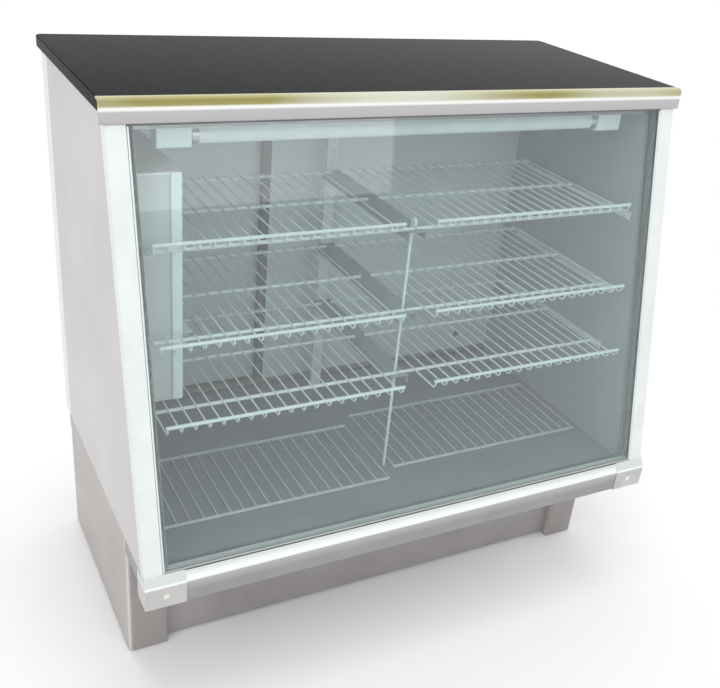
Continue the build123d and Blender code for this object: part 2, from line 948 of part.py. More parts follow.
def door_track(web_z, leg_z):
    """Track of two lanes: a web and three legs that point from it."""
    low = min(web_z, leg_z)
    high = max(web_z, leg_z)
    half = inner_half + jamb_shoulder()
    web_low, web_high = (web_z, web_z + track_web) if leg_z > web_z else (web_z - track_web, web_z)
    track = block(-half, half, wall_back, frame_back, web_low, web_high)
    for lane in range(3):
        y = wall_back + lane * (lane_width + track_leg)
        track += block(-half, half, y, y + track_leg, low, high)
    return track


def lane_middle(lane):
    """Y of the middle of the inner lane (0) or the outer lane (1)."""
    return wall_back + track_leg + lane * (lane_width + track_leg) + lane_width / 2


def jamb_shoulder():
    """How far the rear opening is wider than the room between the walls, on each side."""
    return body_half - jamb_width - inner_half


def door_jamb():
    """Right-hand jamb, with a groove for the edge of each door."""
    x0 = body_half - jamb_width
    middle = Pos(x0 + jamb_width / 2, wall_back + door_frame_depth / 2)
    section = middle * Rectangle(jamb_width, door_frame_depth)
    for lane in range(2):
        section -= Pos(x0 + door_groove / 2, lane_middle(lane)) * Rectangle(door_groove, lane_width)
    return along_z(section, floor_height, slab_bottom)


def door(side, lane):
    """Panel and leading edge of a door closed at one side (1 right, -1 left), in lane 0 (inner) or 1."""
    far = body_half - jamb_width + door_groove - door_end_gap
    near = far - door_width
    y0 = lane_middle(lane) - door_thickness / 2
    y1 = lane_middle(lane) + door_thickness / 2
    low = floor_height + track_web + door_rest_gap
    high = slab_bottom - track_web - door_lift
    panel = block(near + door_edge_width, far, y0, y1, low, high)
    edge = block(near, near + door_edge_width, y0, y1, low, high)
    edge = fillet(edge.edges().filter_by(Axis.Z).group_by(Axis.X)[0], door_edge_rounding)
    pull_x = far - door_pull_inset
    cup = Box(door_pull_width, 2 * door_pull_depth, door_pull_height)
    cup = fillet(cup.edges().filter_by(Axis.Y), door_pull_corner)
    panel -= Pos(pull_x - door_pull_width / 2, y1, floor_height + door_pull_rise) * cup
    if side < 0:
        return mirrored(panel), mirrored(edge)
    return panel, edge


def lamp_batten():
    """Slim spine between the lamp holders, screwed to the ceiling."""
    half = lamp_span / 2
    section = [
        (lamp_y - batten_width / 2, ceiling_height),
        (lamp_y - batten_width / 2 + batten_slope, ceiling_height - batten_thickness),
        (lamp_y + batten_width / 2 - batten_slope, ceiling_height - batten_thickness),
        (lamp_y + batten_width / 2, ceiling_height),
    ]
    return along_x(outline(section), -half, half)


def lamp_holders():
    """Moulded holder at each end of the lamp, with the socket that the pins turn in."""
    inner = lamp_span / 2
    holder = block(
        inner, inner + lamp_holder_width,
        lamp_y - lamp_holder_depth / 2, lamp_y + lamp_holder_depth / 2,
        ceiling_height - lamp_holder_height, ceiling_height,
    )
    holder = fillet(holder.edges().filter_by(Axis.X).group_by(Axis.Z)[0], lamp_holder_rounding)
    socket = standing(lamp_pin_offset + lamp_pin_radius + lamp_socket_clearance, lamp_socket_depth)
    holder -= Pos(inner, lamp_y, lamp_axis_height) * Rot(0, 90, 0) * socket
    return [holder, mirrored(holder)]


def lamp_tube():
    """Tube with a metal cap and two pins at each end."""
    half = lamp_span / 2 - lamp_end_gap
    tube_body = Cylinder(lamp_radius, 2 * (half - lamp_cap_length))
    cap = standing(lamp_radius + lamp_cap_rim, lamp_cap_length)
    cap = chamfer(cap.edges().group_by(Axis.Z)[-1], lamp_cap_chamfer)
    pin = standing(lamp_pin_radius, lamp_pin_length + 1)
    end = Pos(0, 0, half - lamp_cap_length) * cap
    for offset_y in (-lamp_pin_offset, lamp_pin_offset):
        end += Pos(0, offset_y, half - 1) * pin
    lamp = tube_body + end + Rot(180, 0, 0) * end
    return Pos(0, lamp_y, lamp_axis_height) * Rot(0, 90, 0) * lamp


def rail_top(level):
    """Height of the rails under a shelf, where its bars rest."""
    return shelf_heights[level] - shelf_wire / 2 + weld_depth - shelf_bar


def bar_lines():
    """Y of the front, middle and rear bars."""
    return [front_bar_y, (front_bar_y + rear_bar_y) / 2, rear_bar_y]


def shelf_wire_run(level, rear):
    """Wire from the rear end forward, then up behind the glass to the lip."""
    height = shelf_heights[level]
    lip = lip_y(height + lip_rise)
    points = [
        (0, rear, height),
        (0, lip + lip_bend, height),
        (0, lip, height + lip_bend),
        (0, lip, height + lip_rise),
    ]
    section = Plane(origin=points[0], x_dir=(1, 0, 0), z_dir=(0, -1, 0)) * across_flats(shelf_wire)
    return sweep(section, path=Polyline(*points), transition=Transition.RIGHT)


def wire_places():
    """X of each wire of a right-hand shelf."""
    first = lip_inner + wire_margin
    pitch = (lip_outer - wire_margin - first) / (shelf_wires - 1)
    return [first + number * pitch for number in range(shelf_wires)]


def shelf(level, notched=False):
    """Right-hand wire shelf; a notched one stops short at the housing behind its front bar."""
    long_wire = shelf_wire_run(level, rear_bar_y + wire_tail)
    short_wire = shelf_wire_run(level, front_bar_y + wire_tail)
    bar_height = rail_top(level) + shelf_bar / 2
    lip_height = shelf_heights[level] + lip_rise
    limit = -housing_side - rail_width + wire_margin if notched else bar_outer
    pieces = []
    for number, y in enumerate(bar_lines()):
        x0 = bar_inner if number == 0 else bar_inner_rear
        x1 = bar_outer if number == 0 else min(bar_outer, limit + rail_width / 2)
        pieces.append(along_x(Pos(y, bar_height) * across_flats(shelf_bar), x0, x1))
    pieces.append(along_x(Pos(lip_y(lip_height), lip_height) * across_flats(shelf_bar), lip_inner, lip_outer))
    for x in wire_places():
        wire = long_wire if x < limit else short_wire
        pieces.append(Pos(x, 0, 0) * wire)
    return pieces[0] + pieces[1:]


def floor_rack(front):
    """Right-hand floor rack: wires welded on two bars that lie on the floor."""
    bar_height = floor_height + shelf_bar / 2
    pieces = []
    for y in (front, front + rack_depth):
        pieces.append(along_x(Pos(y, bar_height) * across_flats(shelf_bar), rack_inner, rack_outer))
    pitch = (rack_outer - rack_inner - 2 * wire_margin) / (rack_wires - 1)
    height = bar_height + rack_wire_lift
    for number in range(rack_wires):
        x = rack_inner + wire_margin + number * pitch
        pieces.append(along_y(Pos(x, height) * across_flats(shelf_wire), front, front + rack_depth))
    return pieces[0] + pieces[1:]


def angle_rail(x0, top, y0, y1):
    """Folded angle whose upright leg lies on the surface at x0, reaching towards the middle (-X)."""
    section = [
        (x0, top),
        (x0 - rail_width, top),
        (x0 - rail_width, top - rail_sheet),
        (x0 - rail_sheet, top - rail_sheet),
        (x0 - rail_sheet, top - rail_height),
        (x0, top - rail_height),
    ]
    return along_y(outline(section), y0, y1)


def wall_rails():
    """Angles under the outer ends of the shelves, on the walls and on the housing."""
    front = front_bar_y - rail_front
    back = rear_bar_y + rail_front
    rails = []
    for level in range(len(shelf_heights)):
        top = rail_top(level)
        rails.append(angle_rail(inner_half, top, front, back))
        if top < housing_bottom:
            rails.append(mirrored(angle_rail(inner_half, top, front, back)))
        else:
            rails.append(mirrored(angle_rail(inner_half, top, front, housing_front)))
            rails.append(mirrored(angle_rail(-housing_side, top, housing_front + housing_radius, back)))
    return rails


def centre_rails():
    """Channel under the inner ends of each level, from the rod back to the upright."""
    half = centre_rail_width / 2
    rails = []
    for level in range(len(shelf_heights)):
        top = rail_top(level)
        section = [
            (-half, top),
            (half, top),
            (half, top - rail_height),
            (half - rail_sheet, top - rail_height),
            (half - rail_sheet, top - rail_sheet),
            (-half + rail_sheet, top - rail_sheet),
            (-half + rail_sheet, top - rail_height),
            (-half, top - rail_height),
        ]
        rail = along_y(outline(section), front_bar_y - rail_front, upright_y)
        rails.append(rail - Pos(0, rod_y, top) * Cylinder(rod_radius + rod_hole_clearance, rail_height))
    return rails


def centre_rod():
    """Rod from the floor through the channels, hooked forward over the front bars of the top shelf."""
    tail = shelf_heights[0] + shelf_wire / 2
    bend = rod_setback / 2
    high = tail + bend
    shank = Line((0, rod_y, floor_height), (0, rod_y, high))
    turn = ThreePointArc((0, rod_y, high), (0, rod_y - bend, high + bend), (0, front_bar_y, high))
    drop = Line((0, front_bar_y, high), (0, front_bar_y, tail))
    path = Wire([shank.edge(), turn.edge(), drop.edge()])
    rod = sweep(Pos(0, rod_y, floor_height) * Circle(rod_radius), path=path)
    for level in range(len(shelf_heights)):
        low = rail_top(level) - rail_sheet - rod_collar_height
        rod += Pos(0, rod_y, low) * standing(rod_collar_radius, rod_collar_height)
    return rod


def centre_upright():
    """Slotted channel at the back, from floor to ceiling."""
    half = upright_width / 2
    wall = rail_sheet
    section = [
        (-half, upright_y),
        (half, upright_y),
        (half, upright_y + upright_depth),
        (half - wall, upright_y + upright_depth),
        (half - wall, upright_y + wall),
        (-half + wall, upright_y + wall),
        (-half + wall, upright_y + upright_depth),
        (-half, upright_y + upright_depth),
    ]
    upright = along_z(outline(section), floor_height, ceiling_height)
    count = int((ceiling_height - floor_height) / upright_slot_pitch) - 1
    slots = []
    for number in range(count):
        z = floor_height + (number + 1) * upright_slot_pitch
        for x in (-upright_slot_offset, upright_slot_offset):
            slot = Box(upright_slot_width, 4 * wall, upright_slot)
            slots.append(Pos(x, upright_y, z) * slot)
    return upright - slots


def evaporator_cover():
    """Sheet housing open at the wall, with barred fan outlets and intake slots in its inner side."""
    wall = housing_sheet
    side = housing_side
    outer_points = [
        (-inner_half, housing_front),
        (side, housing_front),
        (side, housing_rear),
        (-inner_half, housing_rear),
    ]
    inner_points = [
        (-inner_half - 1, housing_front + wall),
        (side - wall, housing_front + wall),
        (side - wall, housing_rear - wall),
        (-inner_half - 1, housing_rear - wall),
    ]
    outer = outline(outer_points, {1: housing_radius})
    inner = outline(inner_points, {1: housing_radius - wall})
    shell = along_z(outer, housing_bottom, housing_top)
    shell -= along_z(inner, housing_bottom + wall, housing_top - wall)
    middle = (housing_front + housing_rear) / 2
    cuts = []
    pitch = 2 * outlet_radius / outlet_bars
    for height in outlet_heights:
        for number in range(outlet_bars):
            z = -outlet_radius + (number + 0.5) * pitch
            reach = sqrt(outlet_radius ** 2 - z ** 2)
            cuts.append(Pos(side, middle, height + z) * Box(4 * wall, 2 * reach, outlet_bar_gap))
    for number in range(intake_rows):
        z = housing_bottom + intake_rise + number * intake_pitch
        length = housing_rear - housing_front - 2 * intake_margin
        cuts.append(Pos(side, middle, z) * Box(4 * wall, length, intake_slot))
    return shell - cuts


def evaporator_coil():
    """Finned block fixed to the wall inside the housing."""
    x0 = -inner_half
    y0 = housing_front + housing_sheet + coil_gap
    y1 = housing_rear - housing_sheet - coil_gap
    core = block(x0, x0 + coil_core_depth, y0, y1, coil_bottom, coil_top)
    pitch = (y1 - y0 - coil_fin) / (coil_fins - 1)
    fins = []
    for number in range(coil_fins):
        y = y0 + number * pitch
        fins.append(block(x0, x0 + coil_depth, y, y + coil_fin, coil_bottom, coil_top))
    return core + fins


def small_fan_places():
    """Centre of each evaporator fan, behind its outlet."""
    x = housing_side - housing_sheet - small_fan_standoff - small_fan_length / 2
    return [(x, (housing_front + housing_rear) / 2, height) for height in outlet_heights]


def evaporator_fans():
    rotor = fan(small_fan_radius, small_fan_hub, small_fan_length, small_pitch_root, small_pitch_tip)
    return [Pos(*place) * Rot(0, 90, 0) * rotor for place in small_fan_places()]


def evaporator_fan_motors():
    """Motor and shaft of each fan, on a strap between the front and the back of the housing."""
    motors = []
    for x, y, z in small_fan_places():
        face = x - small_fan_length / 2 - motor_gap
        middle = face - small_motor_length / 2
        body = Pos(middle, y, z) * Rot(0, 90, 0) * Cylinder(small_motor_radius, small_motor_length)
        shaft = Pos(x - motor_gap, y, z) * Rot(0, 90, 0) * Cylinder(motor_shaft, small_fan_length)
        strap = block(
            face - small_motor_length, face - small_motor_length + motor_strap,
            housing_front + housing_sheet, housing_rear - housing_sheet,
            z - motor_strap_width / 2, z + motor_strap_width / 2,
        )
        motors.append(body + shaft + strap)
    return motors


save("counter_top", counter_top())
save("front_trim", front_trim())
save("head_rail", head_rail())
save("ceiling_panel", ceiling_panel())
save("floor_pan", floor_pan())
save("side_wall_right", side_wall())
save("side_wall_left", mirrored(side_wall()))
save("front_post_right", front_post())
save("front_post_left", mirrored(front_post()))
save("glass_outer", glass_slab(post_skin, pane_thickness))
save("glass_spacer", glass_spacer())
save("glass_inner", glass_slab(post_skin + pane_thickness + spacer_thickness, pane_thickness))
save("bumper_rail", bumper_rail())
save("bumper_caps", bumper_cap(), mirrored(bumper_cap()))
save("base_side_right", base_side())
save("base_side_left", mirrored(base_side()))
save("kick_plate", kick_plate())
save("base_frame", base_frame())
save("levelling_feet", *levelling_feet())
save("rear_grille", rear_grille())
save("control_panel", control_panel())
save("case_screws", *cap_screws(), *panel_screws())
save("thermostat_knob", thermostat_knob())
save("light_switch", light_switch())
save("cord_gland", cord_gland())
save("unit_tray", unit_tray())
save("compressor", compressor())
save("condenser_coil", condenser_coil())
save("condenser_fan_shroud", fan_shroud())
save("condenser_fan_blades", condenser_fan())
save("condenser_fan_motor", condenser_fan_motor())
save("refrigerant_pipes", *refrigerant_pipes())
save("door_track_bottom", door_track(floor_height, floor_height + track_bottom_leg))
save("door_track_top", door_track(slab_bottom, ceiling_height))
save("door_jamb_right", door_jamb())
save("door_jamb_left", mirrored(door_jamb()))
for name, side, lane in (("door_right", 1, 0), ("door_left", -1, 1)):
    panel, edge = door(side, lane)
    save(f"{name}_panel", panel)
    save(f"{name}_edge", edge)
save("lamp_batten", lamp_batten())
save("lamp_holders", *lamp_holders())
save("lamp_tube", lamp_tube())
for level in range(len(shelf_heights)):
    notched = rail_top(level) > housing_bottom
    save(f"shelf_{level + 1}_right", shelf(level))
    save(f"shelf_{level + 1}_left", mirrored(shelf(level, notched)))
save("floor_rack_right", floor_rack(lean_foot + rack_setback_right))
save("floor_rack_left", mirrored(floor_rack(lean_foot + rack_setback_left)))
save("wall_rails", *wall_rails())
save("centre_rails", *centre_rails())
save("centre_rod", centre_rod())
save("centre_upright", centre_upright())
save("evaporator_cover", evaporator_cover())
save("evaporator_coil", evaporator_coil())
for name, rotor in zip(("upper", "lower"), evaporator_fans()):
    save(f"evaporator_fan_{name}", rotor)
save("evaporator_fan_motors", *evaporator_fan_motors())
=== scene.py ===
import bpy, bmesh, math
from mathutils import Matrix, Vector


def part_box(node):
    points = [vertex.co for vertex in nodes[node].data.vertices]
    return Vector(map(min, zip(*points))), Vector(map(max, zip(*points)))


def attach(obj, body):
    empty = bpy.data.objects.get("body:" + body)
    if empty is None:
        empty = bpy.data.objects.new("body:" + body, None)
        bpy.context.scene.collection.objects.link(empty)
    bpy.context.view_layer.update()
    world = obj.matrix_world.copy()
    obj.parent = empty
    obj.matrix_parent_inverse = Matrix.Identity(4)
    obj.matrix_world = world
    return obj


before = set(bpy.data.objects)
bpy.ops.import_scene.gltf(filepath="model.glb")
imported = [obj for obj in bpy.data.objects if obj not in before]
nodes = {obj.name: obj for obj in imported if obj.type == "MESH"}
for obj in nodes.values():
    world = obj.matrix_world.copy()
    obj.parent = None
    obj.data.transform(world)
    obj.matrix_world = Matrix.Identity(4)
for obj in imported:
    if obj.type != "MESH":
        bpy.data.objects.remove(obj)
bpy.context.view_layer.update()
print("frame loaded:", len(nodes), "nodes")


def hexLinear(code):
    parts = [int(code[i:i + 2], 16) / 255 for i in (1, 3, 5)]
    linear = [c / 12.92 if c <= 0.04045 else ((c + 0.055) / 1.055) ** 2.4 for c in parts]
    return (*linear, 1.0)


def addNode(tree, kind, inputs=None, stops=(), **settings):
    # inputs take plain values, hex colours, or another node or output to link; stops fill a colour ramp
    node = tree.nodes.new(kind)
    for key, value in settings.items():
        setattr(node, key, value)
    for key, value in (inputs or {}).items():
        if isinstance(value, bpy.types.Node):
            value = value.outputs[0]
        if isinstance(value, bpy.types.NodeSocket):
            tree.links.new(value, node.inputs[key])
        else:
            node.inputs[key].default_value = hexLinear(value) if isinstance(value, str) else value
    if stops:
        elements = node.color_ramp.elements
        while len(elements) < len(stops):
            elements.new(0.5)
        for element, (position, code) in zip(elements, stops):
            element.position = position
            element.color = hexLinear(code)
    return node


def newMaterial(name):
    material = bpy.data.materials.new(name)
    material.use_nodes = True
    tree = material.node_tree
    tree.nodes.clear()
    place = addNode(tree, "ShaderNodeTexCoord").outputs["Object"]
    return material, tree, place


def coatedSteel(name, pale, deep, roughness, grain=2.5, depth=0.02, cloud=160):  # last three in mm
    # steel sheet with a rolled-on or baked coat: an even colour with a slight orange peel and soft clouds
    material, tree, place = newMaterial(name)
    clouds = addNode(tree, "ShaderNodeTexNoise", {"Vector": place, "Scale": 1000 / cloud, "Detail": 3.0})
    peel = addNode(tree, "ShaderNodeTexNoise", {"Vector": place, "Scale": 1000 / grain, "Detail": 1.0})
    surface = addNode(tree, "ShaderNodeBsdfPrincipled", {
        "Base Color": addNode(tree, "ShaderNodeValToRGB", {"Fac": clouds}, [(0.3, deep), (0.7, pale)]),
        "Roughness": addNode(tree, "ShaderNodeMapRange", {
            "Value": clouds, "From Min": 0.3, "From Max": 0.7,
            "To Min": roughness + 0.06, "To Max": roughness - 0.03}),
        "Normal": addNode(tree, "ShaderNodeBump", {"Height": peel, "Distance": depth / 1000})})
    addNode(tree, "ShaderNodeOutputMaterial", {"Surface": surface})
    return material


def mouldedPlastic(name, pale, deep, roughness, grain=0.8, depth=0.02):  # grain and depth in mm
    # moulded or extruded plastic: one colour all through, with a matt grain drawn coarser than the real one
    material, tree, place = newMaterial(name)
    clouds = addNode(tree, "ShaderNodeTexNoise", {"Vector": place, "Scale": 1000 / 60, "Detail": 2.0})
    matt = addNode(tree, "ShaderNodeTexNoise", {"Vector": place, "Scale": 1000 / grain, "Detail": 1.0})
    surface = addNode(tree, "ShaderNodeBsdfPrincipled", {
        "Base Color": addNode(tree, "ShaderNodeValToRGB", {"Fac": clouds}, [(0.3, deep), (0.7, pale)]),
        "Roughness": roughness,
        "Normal": addNode(tree, "ShaderNodeBump", {"Height": matt, "Distance": depth / 1000})})
    addNode(tree, "ShaderNodeOutputMaterial", {"Surface": surface})
    return material


def brushedMetal(name, pale, deep, roughness, stroke=90, grit=0.5):  # stroke and grit in mm
    # rolled or brushed metal: lines along the length of the counter, as long as a brush stroke, and drawn
    # wider than real ones so that they show
    material, tree, place = newMaterial(name)
    stretched = addNode(tree, "ShaderNodeMapping", {"Vector": place, "Scale": (grit / stroke, 1, 1)})
    lines = addNode(tree, "ShaderNodeTexNoise", {"Vector": stretched, "Scale": 1000 / grit, "Detail": 3.0})
    surface = addNode(tree, "ShaderNodeBsdfPrincipled", {
        "Base Color": addNode(tree, "ShaderNodeValToRGB", {"Fac": lines}, [(0.25, deep), (0.75, pale)]),
        "Metallic": 1.0,
        "Roughness": addNode(tree, "ShaderNodeMapRange", {
            "Value": lines, "From Min": 0.3, "From Max": 0.7,
            "To Min": roughness - 0.05, "To Max": roughness + 0.08}),
        "Normal": addNode(tree, "ShaderNodeBump", {"Height": lines, "Distance": 0.01 / 1000})})
    addNode(tree, "ShaderNodeOutputMaterial", {"Surface": surface})
    return material


stone = {  # sizes in mm
    "crystal": 1.6,  # coarser than the real grain, so that the specks show
    "mottle": 14,
    "dark": "#060908",
    "light": "#0d1211",
    "mica": "#3a4042",
    "micaFrom": 0.93,  # share of the crystals that stay dark
    "lowIor": 1.042,
}


def polishedGranite():
    # absolute black granite, sawn and polished: specks of grey mica under a glossy face; the low IOR keeps
    # it as dark along a grazing line of sight as the real one is
    material, tree, place = newMaterial("black granite, polished")
    crystals = addNode(tree, "ShaderNodeTexVoronoi", {"Vector": place, "Scale": 1000 / stone["crystal"]})
    tint = addNode(tree, "ShaderNodeSeparateColor", {"Color": crystals.outputs["Color"]})
    speck = addNode(tree, "ShaderNodeMapRange", {
        "Value": tint, "From Min": stone["micaFrom"], "From Max": 1.0})
    mottled = addNode(tree, "ShaderNodeTexNoise", {
        "Vector": place, "Scale": 1000 / stone["mottle"], "Detail": 3.0})
    ground = addNode(tree, "ShaderNodeValToRGB", {"Fac": mottled}, [
        (0.35, stone["dark"]), (0.7, stone["light"])])
    colour = addNode(tree, "ShaderNodeMix", {
        0: speck, 6: ground, 7: stone["mica"]}, data_type="RGBA").outputs[2]
    surface = addNode(tree, "ShaderNodeBsdfPrincipled", {
        "Base Color": colour,
        "Roughness": addNode(tree, "ShaderNodeMapRange", {
            "Value": mottled, "From Min": 0.2, "From Max": 0.8, "To Min": 0.02, "To Max": 0.05}),
        "IOR": stone["lowIor"]})
    addNode(tree, "ShaderNodeOutputMaterial", {"Surface": surface})
    return material


nosingBands = {  # heights in metres; stops run from the hem at 0 to the top at 1
    "hem": 1.110,
    "top": 1.150,
    # hem to top: a darker hem, the satin face, a painted highlight from 0.53 to 0.62 where the nosing turns,
    # and above 0.69 a painted warm reflection of the room on the roll
    "warm": [(0.0, "#a3a0a3"), (0.05, "#bdbbbc"), (0.46, "#c4c2c3"), (0.53, "#f6f6f3"),
             (0.62, "#f8f8f4"), (0.69, "#aaa268"), (0.88, "#989158"), (1.0, "#b9b37e")],
    # the same bands where the painted reflection on the roll has gone pale
    "pale": [(0.62, "#f8f8f4"), (0.7, "#dfe0cf"), (1.0, "#d3d5c2")],
    "reflectionLength": 420,  # mm over which the painted reflection on the roll goes from warm to pale
    "reflectionNoise": (0.42, 0.6),
    "roll": (0.62, 0.69),  # levels between which the painted reflection sets in
    "line": 0.8,  # mm; wider than a real brush line, so that it shows
}


def nosing():
    # folded stainless nosing: a satin face with a darker hem, a painted highlight where it turns, and a
    # polished upper roll with a painted warm reflection of the room that pales along its length
    material, tree, place = newMaterial("stainless nosing, satin face and polished roll")
    height = addNode(tree, "ShaderNodeSeparateXYZ", {"Vector": place}).outputs[2]
    level = addNode(tree, "ShaderNodeMapRange", {
        "Value": height, "From Min": nosingBands["hem"], "From Max": nosingBands["top"]})
    stretched = addNode(tree, "ShaderNodeMapping", {"Vector": place, "Scale": (0.004, 1, 1)})
    lines = addNode(tree, "ShaderNodeTexNoise", {
        "Vector": stretched, "Scale": 1000 / nosingBands["line"], "Detail": 2.0})
    warm = addNode(tree, "ShaderNodeValToRGB", {"Fac": level}, nosingBands["warm"])
    pale = addNode(tree, "ShaderNodeValToRGB", {"Fac": level}, nosingBands["pale"])
    along = addNode(tree, "ShaderNodeTexNoise", {
        "Vector": place, "Scale": 1000 / nosingBands["reflectionLength"], "Detail": 1.0})
    fading = addNode(tree, "ShaderNodeMapRange", {
        "Value": along, "From Min": nosingBands["reflectionNoise"][0], "From Max": nosingBands["reflectionNoise"][1],
        "To Min": 1.0, "To Max": 0.0})
    onRoll = addNode(tree, "ShaderNodeMapRange", {
        "Value": level, "From Min": nosingBands["roll"][0], "From Max": nosingBands["roll"][1]})
    # painted reflection on the roll, fading from warm to pale along the nosing
    paintedReflection = addNode(tree, "ShaderNodeMath", {0: fading, 1: onRoll}, operation="MULTIPLY")
    colour = addNode(tree, "ShaderNodeMix", {0: paintedReflection, 6: warm, 7: pale}, data_type="RGBA").outputs[2]
    surface = addNode(tree, "ShaderNodeBsdfPrincipled", {
        "Base Color": colour,
        "Metallic": 0.6,
        "Roughness": addNode(tree, "ShaderNodeMapRange", {
            "Value": level, "From Min": 0.5, "From Max": 0.7, "To Min": 0.38, "To Max": 0.2}),
        "Normal": addNode(tree, "ShaderNodeBump", {"Height": lines, "Distance": 0.003 / 1000})})
    addNode(tree, "ShaderNodeOutputMaterial", {"Surface": surface})
    return material


def clearGlass():
    # float glass: clear and all but colourless through the face, and its shadow stays light
    material, tree, place = newMaterial("float glass, clear")
    smudge = addNode(tree, "ShaderNodeTexNoise", {"Vector": place, "Scale": 1000 / 90, "Detail": 3.0})
    pane = addNode(tree, "ShaderNodeBsdfPrincipled", {
        "Base Color": "#f9fcfd", "Transmission Weight": 1.0, "IOR": 1.5,
        "Roughness": addNode(tree, "ShaderNodeMapRange", {
            "Value": smudge, "From Min": 0.5, "From Max": 0.8, "To Min": 0.0, "To Max": 0.004})})
    path = addNode(tree, "ShaderNodeLightPath")
    passes = addNode(tree, "ShaderNodeMath", {
        0: path.outputs["Is Shadow Ray"], 1: path.outputs["Is Diffuse Ray"]}, operation="MAXIMUM")
    seeThrough = addNode(tree, "ShaderNodeBsdfTransparent", {"Color": "#f6fafa"})
    surface = addNode(tree, "ShaderNodeMixShader", {0: passes, 1: pane, 2: seeThrough})
    addNode(tree, "ShaderNodeOutputMaterial", {"Surface": surface})
    return material


lampBands = {"capFrom": 0.4217}  # distance from the middle of the tube, in metres


def lampGlass():
    # opal glass tube with pressed aluminium caps at both ends
    material, tree, place = newMaterial("opal glass tube, aluminium caps")
    along = addNode(tree, "ShaderNodeSeparateXYZ", {"Vector": place})
    outward = addNode(tree, "ShaderNodeMath", {0: along}, operation="ABSOLUTE")
    cap = addNode(tree, "ShaderNodeMath", {0: outward, 1: lampBands["capFrom"]}, operation="GREATER_THAN")
    dust = addNode(tree, "ShaderNodeTexNoise", {"Vector": place, "Scale": 1000 / 25, "Detail": 2.0})
    opal = addNode(tree, "ShaderNodeValToRGB", {"Fac": dust}, [(0.3, "#d9dddd"), (0.7, "#e2e6e6")])
    colour = addNode(tree, "ShaderNodeMix", {0: cap, 6: opal, 7: "#b9bcbc"}, data_type="RGBA").outputs[2]
    surface = addNode(tree, "ShaderNodeBsdfPrincipled", {
        "Base Color": colour,
        "Metallic": cap,
        "Roughness": addNode(tree, "ShaderNodeMapRange", {"Value": cap, "To Min": 0.18, "To Max": 0.32})})
    addNode(tree, "ShaderNodeOutputMaterial", {"Surface": surface})
    return material


def finStack(name, colour, pitch, axis):  # pitch in mm
    # pressed aluminium fins seen edge on: thin bright lines at the fin pitch, with painted shade in the gaps
    # between them
    material, tree, place = newMaterial(name)
    along = addNode(tree, "ShaderNodeSeparateXYZ", {"Vector": place}).outputs[axis]
    wave = addNode(tree, "ShaderNodeMath", {0: along, 1: pitch / 1000}, operation="PINGPONG")
    edge = addNode(tree, "ShaderNodeMapRange", {"Value": wave, "From Min": 0, "From Max": pitch / 1000})
    surface = addNode(tree, "ShaderNodeBsdfPrincipled", {
        # 3c4042 in the gaps is painted shade between the fins
        "Base Color": addNode(tree, "ShaderNodeValToRGB", {"Fac": edge}, [(0.25, "#3c4042"), (0.6, colour)]),
        "Metallic": 0.9, "Roughness": 0.42,
        "Normal": addNode(tree, "ShaderNodeBump", {"Height": edge, "Distance": 0.6 / 1000})})
    addNode(tree, "ShaderNodeOutputMaterial", {"Surface": surface})
    return material


bumperBands = {  # heights in metres, between which one colour goes over into the next
    "shade": (0.288, 0.309),
    "edge": (0.3095, 0.3125),
    "crown": (0.308, 0.332),
    # painted highlight where the crown slopes up towards the light, dimming at its back
    "crownHighlightStops": [(0.1, "#f2f7f5"), (0.45, "#eff4f2"), (0.85, "#d3dad7")],
}


def bumperVinyl():
    # extruded rigid vinyl: a grey face, painted darker low down as shade, and a crown painted near white as
    # a highlight where it slopes back to the glass
    material, tree, place = newMaterial("rigid vinyl, grey face and white crown")
    height = addNode(tree, "ShaderNodeSeparateXYZ", {"Vector": place}).outputs[2]
    shade, edge, slope = [addNode(tree, "ShaderNodeMapRange", {
        "Value": height, "From Min": bumperBands[band][0], "From Max": bumperBands[band][1]})
        for band in ("shade", "edge", "crown")]
    clouds = addNode(tree, "ShaderNodeTexNoise", {"Vector": place, "Scale": 1000 / 70, "Detail": 2.0})
    matt = addNode(tree, "ShaderNodeTexNoise", {"Vector": place, "Scale": 1000 / 0.8, "Detail": 1.0})
    face = addNode(tree, "ShaderNodeValToRGB", {"Fac": clouds}, [(0.3, "#93918f"), (0.7, "#9c9a9b")])
    # the face grows lighter upwards through the shade band: painted shade low on the face
    upper = addNode(tree, "ShaderNodeMix", {0: shade, 6: face, 7: "#b5b3b3"}, data_type="RGBA").outputs[2]
    # the near-white crown is a painted highlight
    crown = addNode(tree, "ShaderNodeValToRGB", {"Fac": slope}, bumperBands["crownHighlightStops"])
    colour = addNode(tree, "ShaderNodeMix", {0: edge, 6: upper, 7: crown}, data_type="RGBA").outputs[2]
    surface = addNode(tree, "ShaderNodeBsdfPrincipled", {
        "Base Color": colour,
        "Roughness": 0.28,
        "Normal": addNode(tree, "ShaderNodeBump", {"Height": matt, "Distance": 0.01 / 1000})})
    addNode(tree, "ShaderNodeOutputMaterial", {"Surface": surface})
    return material


capBands = {  # heights in metres
    "edge": (0.308, 0.311),
    "ridge": (0.306, 0.320),
    # a painted highlight on the ridge, then the top a little lighter as painted light
    "ridgeHighlightStops": [(0.3, "#c8c5c2"), (0.42, "#f2f5f2"), (0.6, "#f2f5f2"), (0.75, "#d2d7d4")],
}


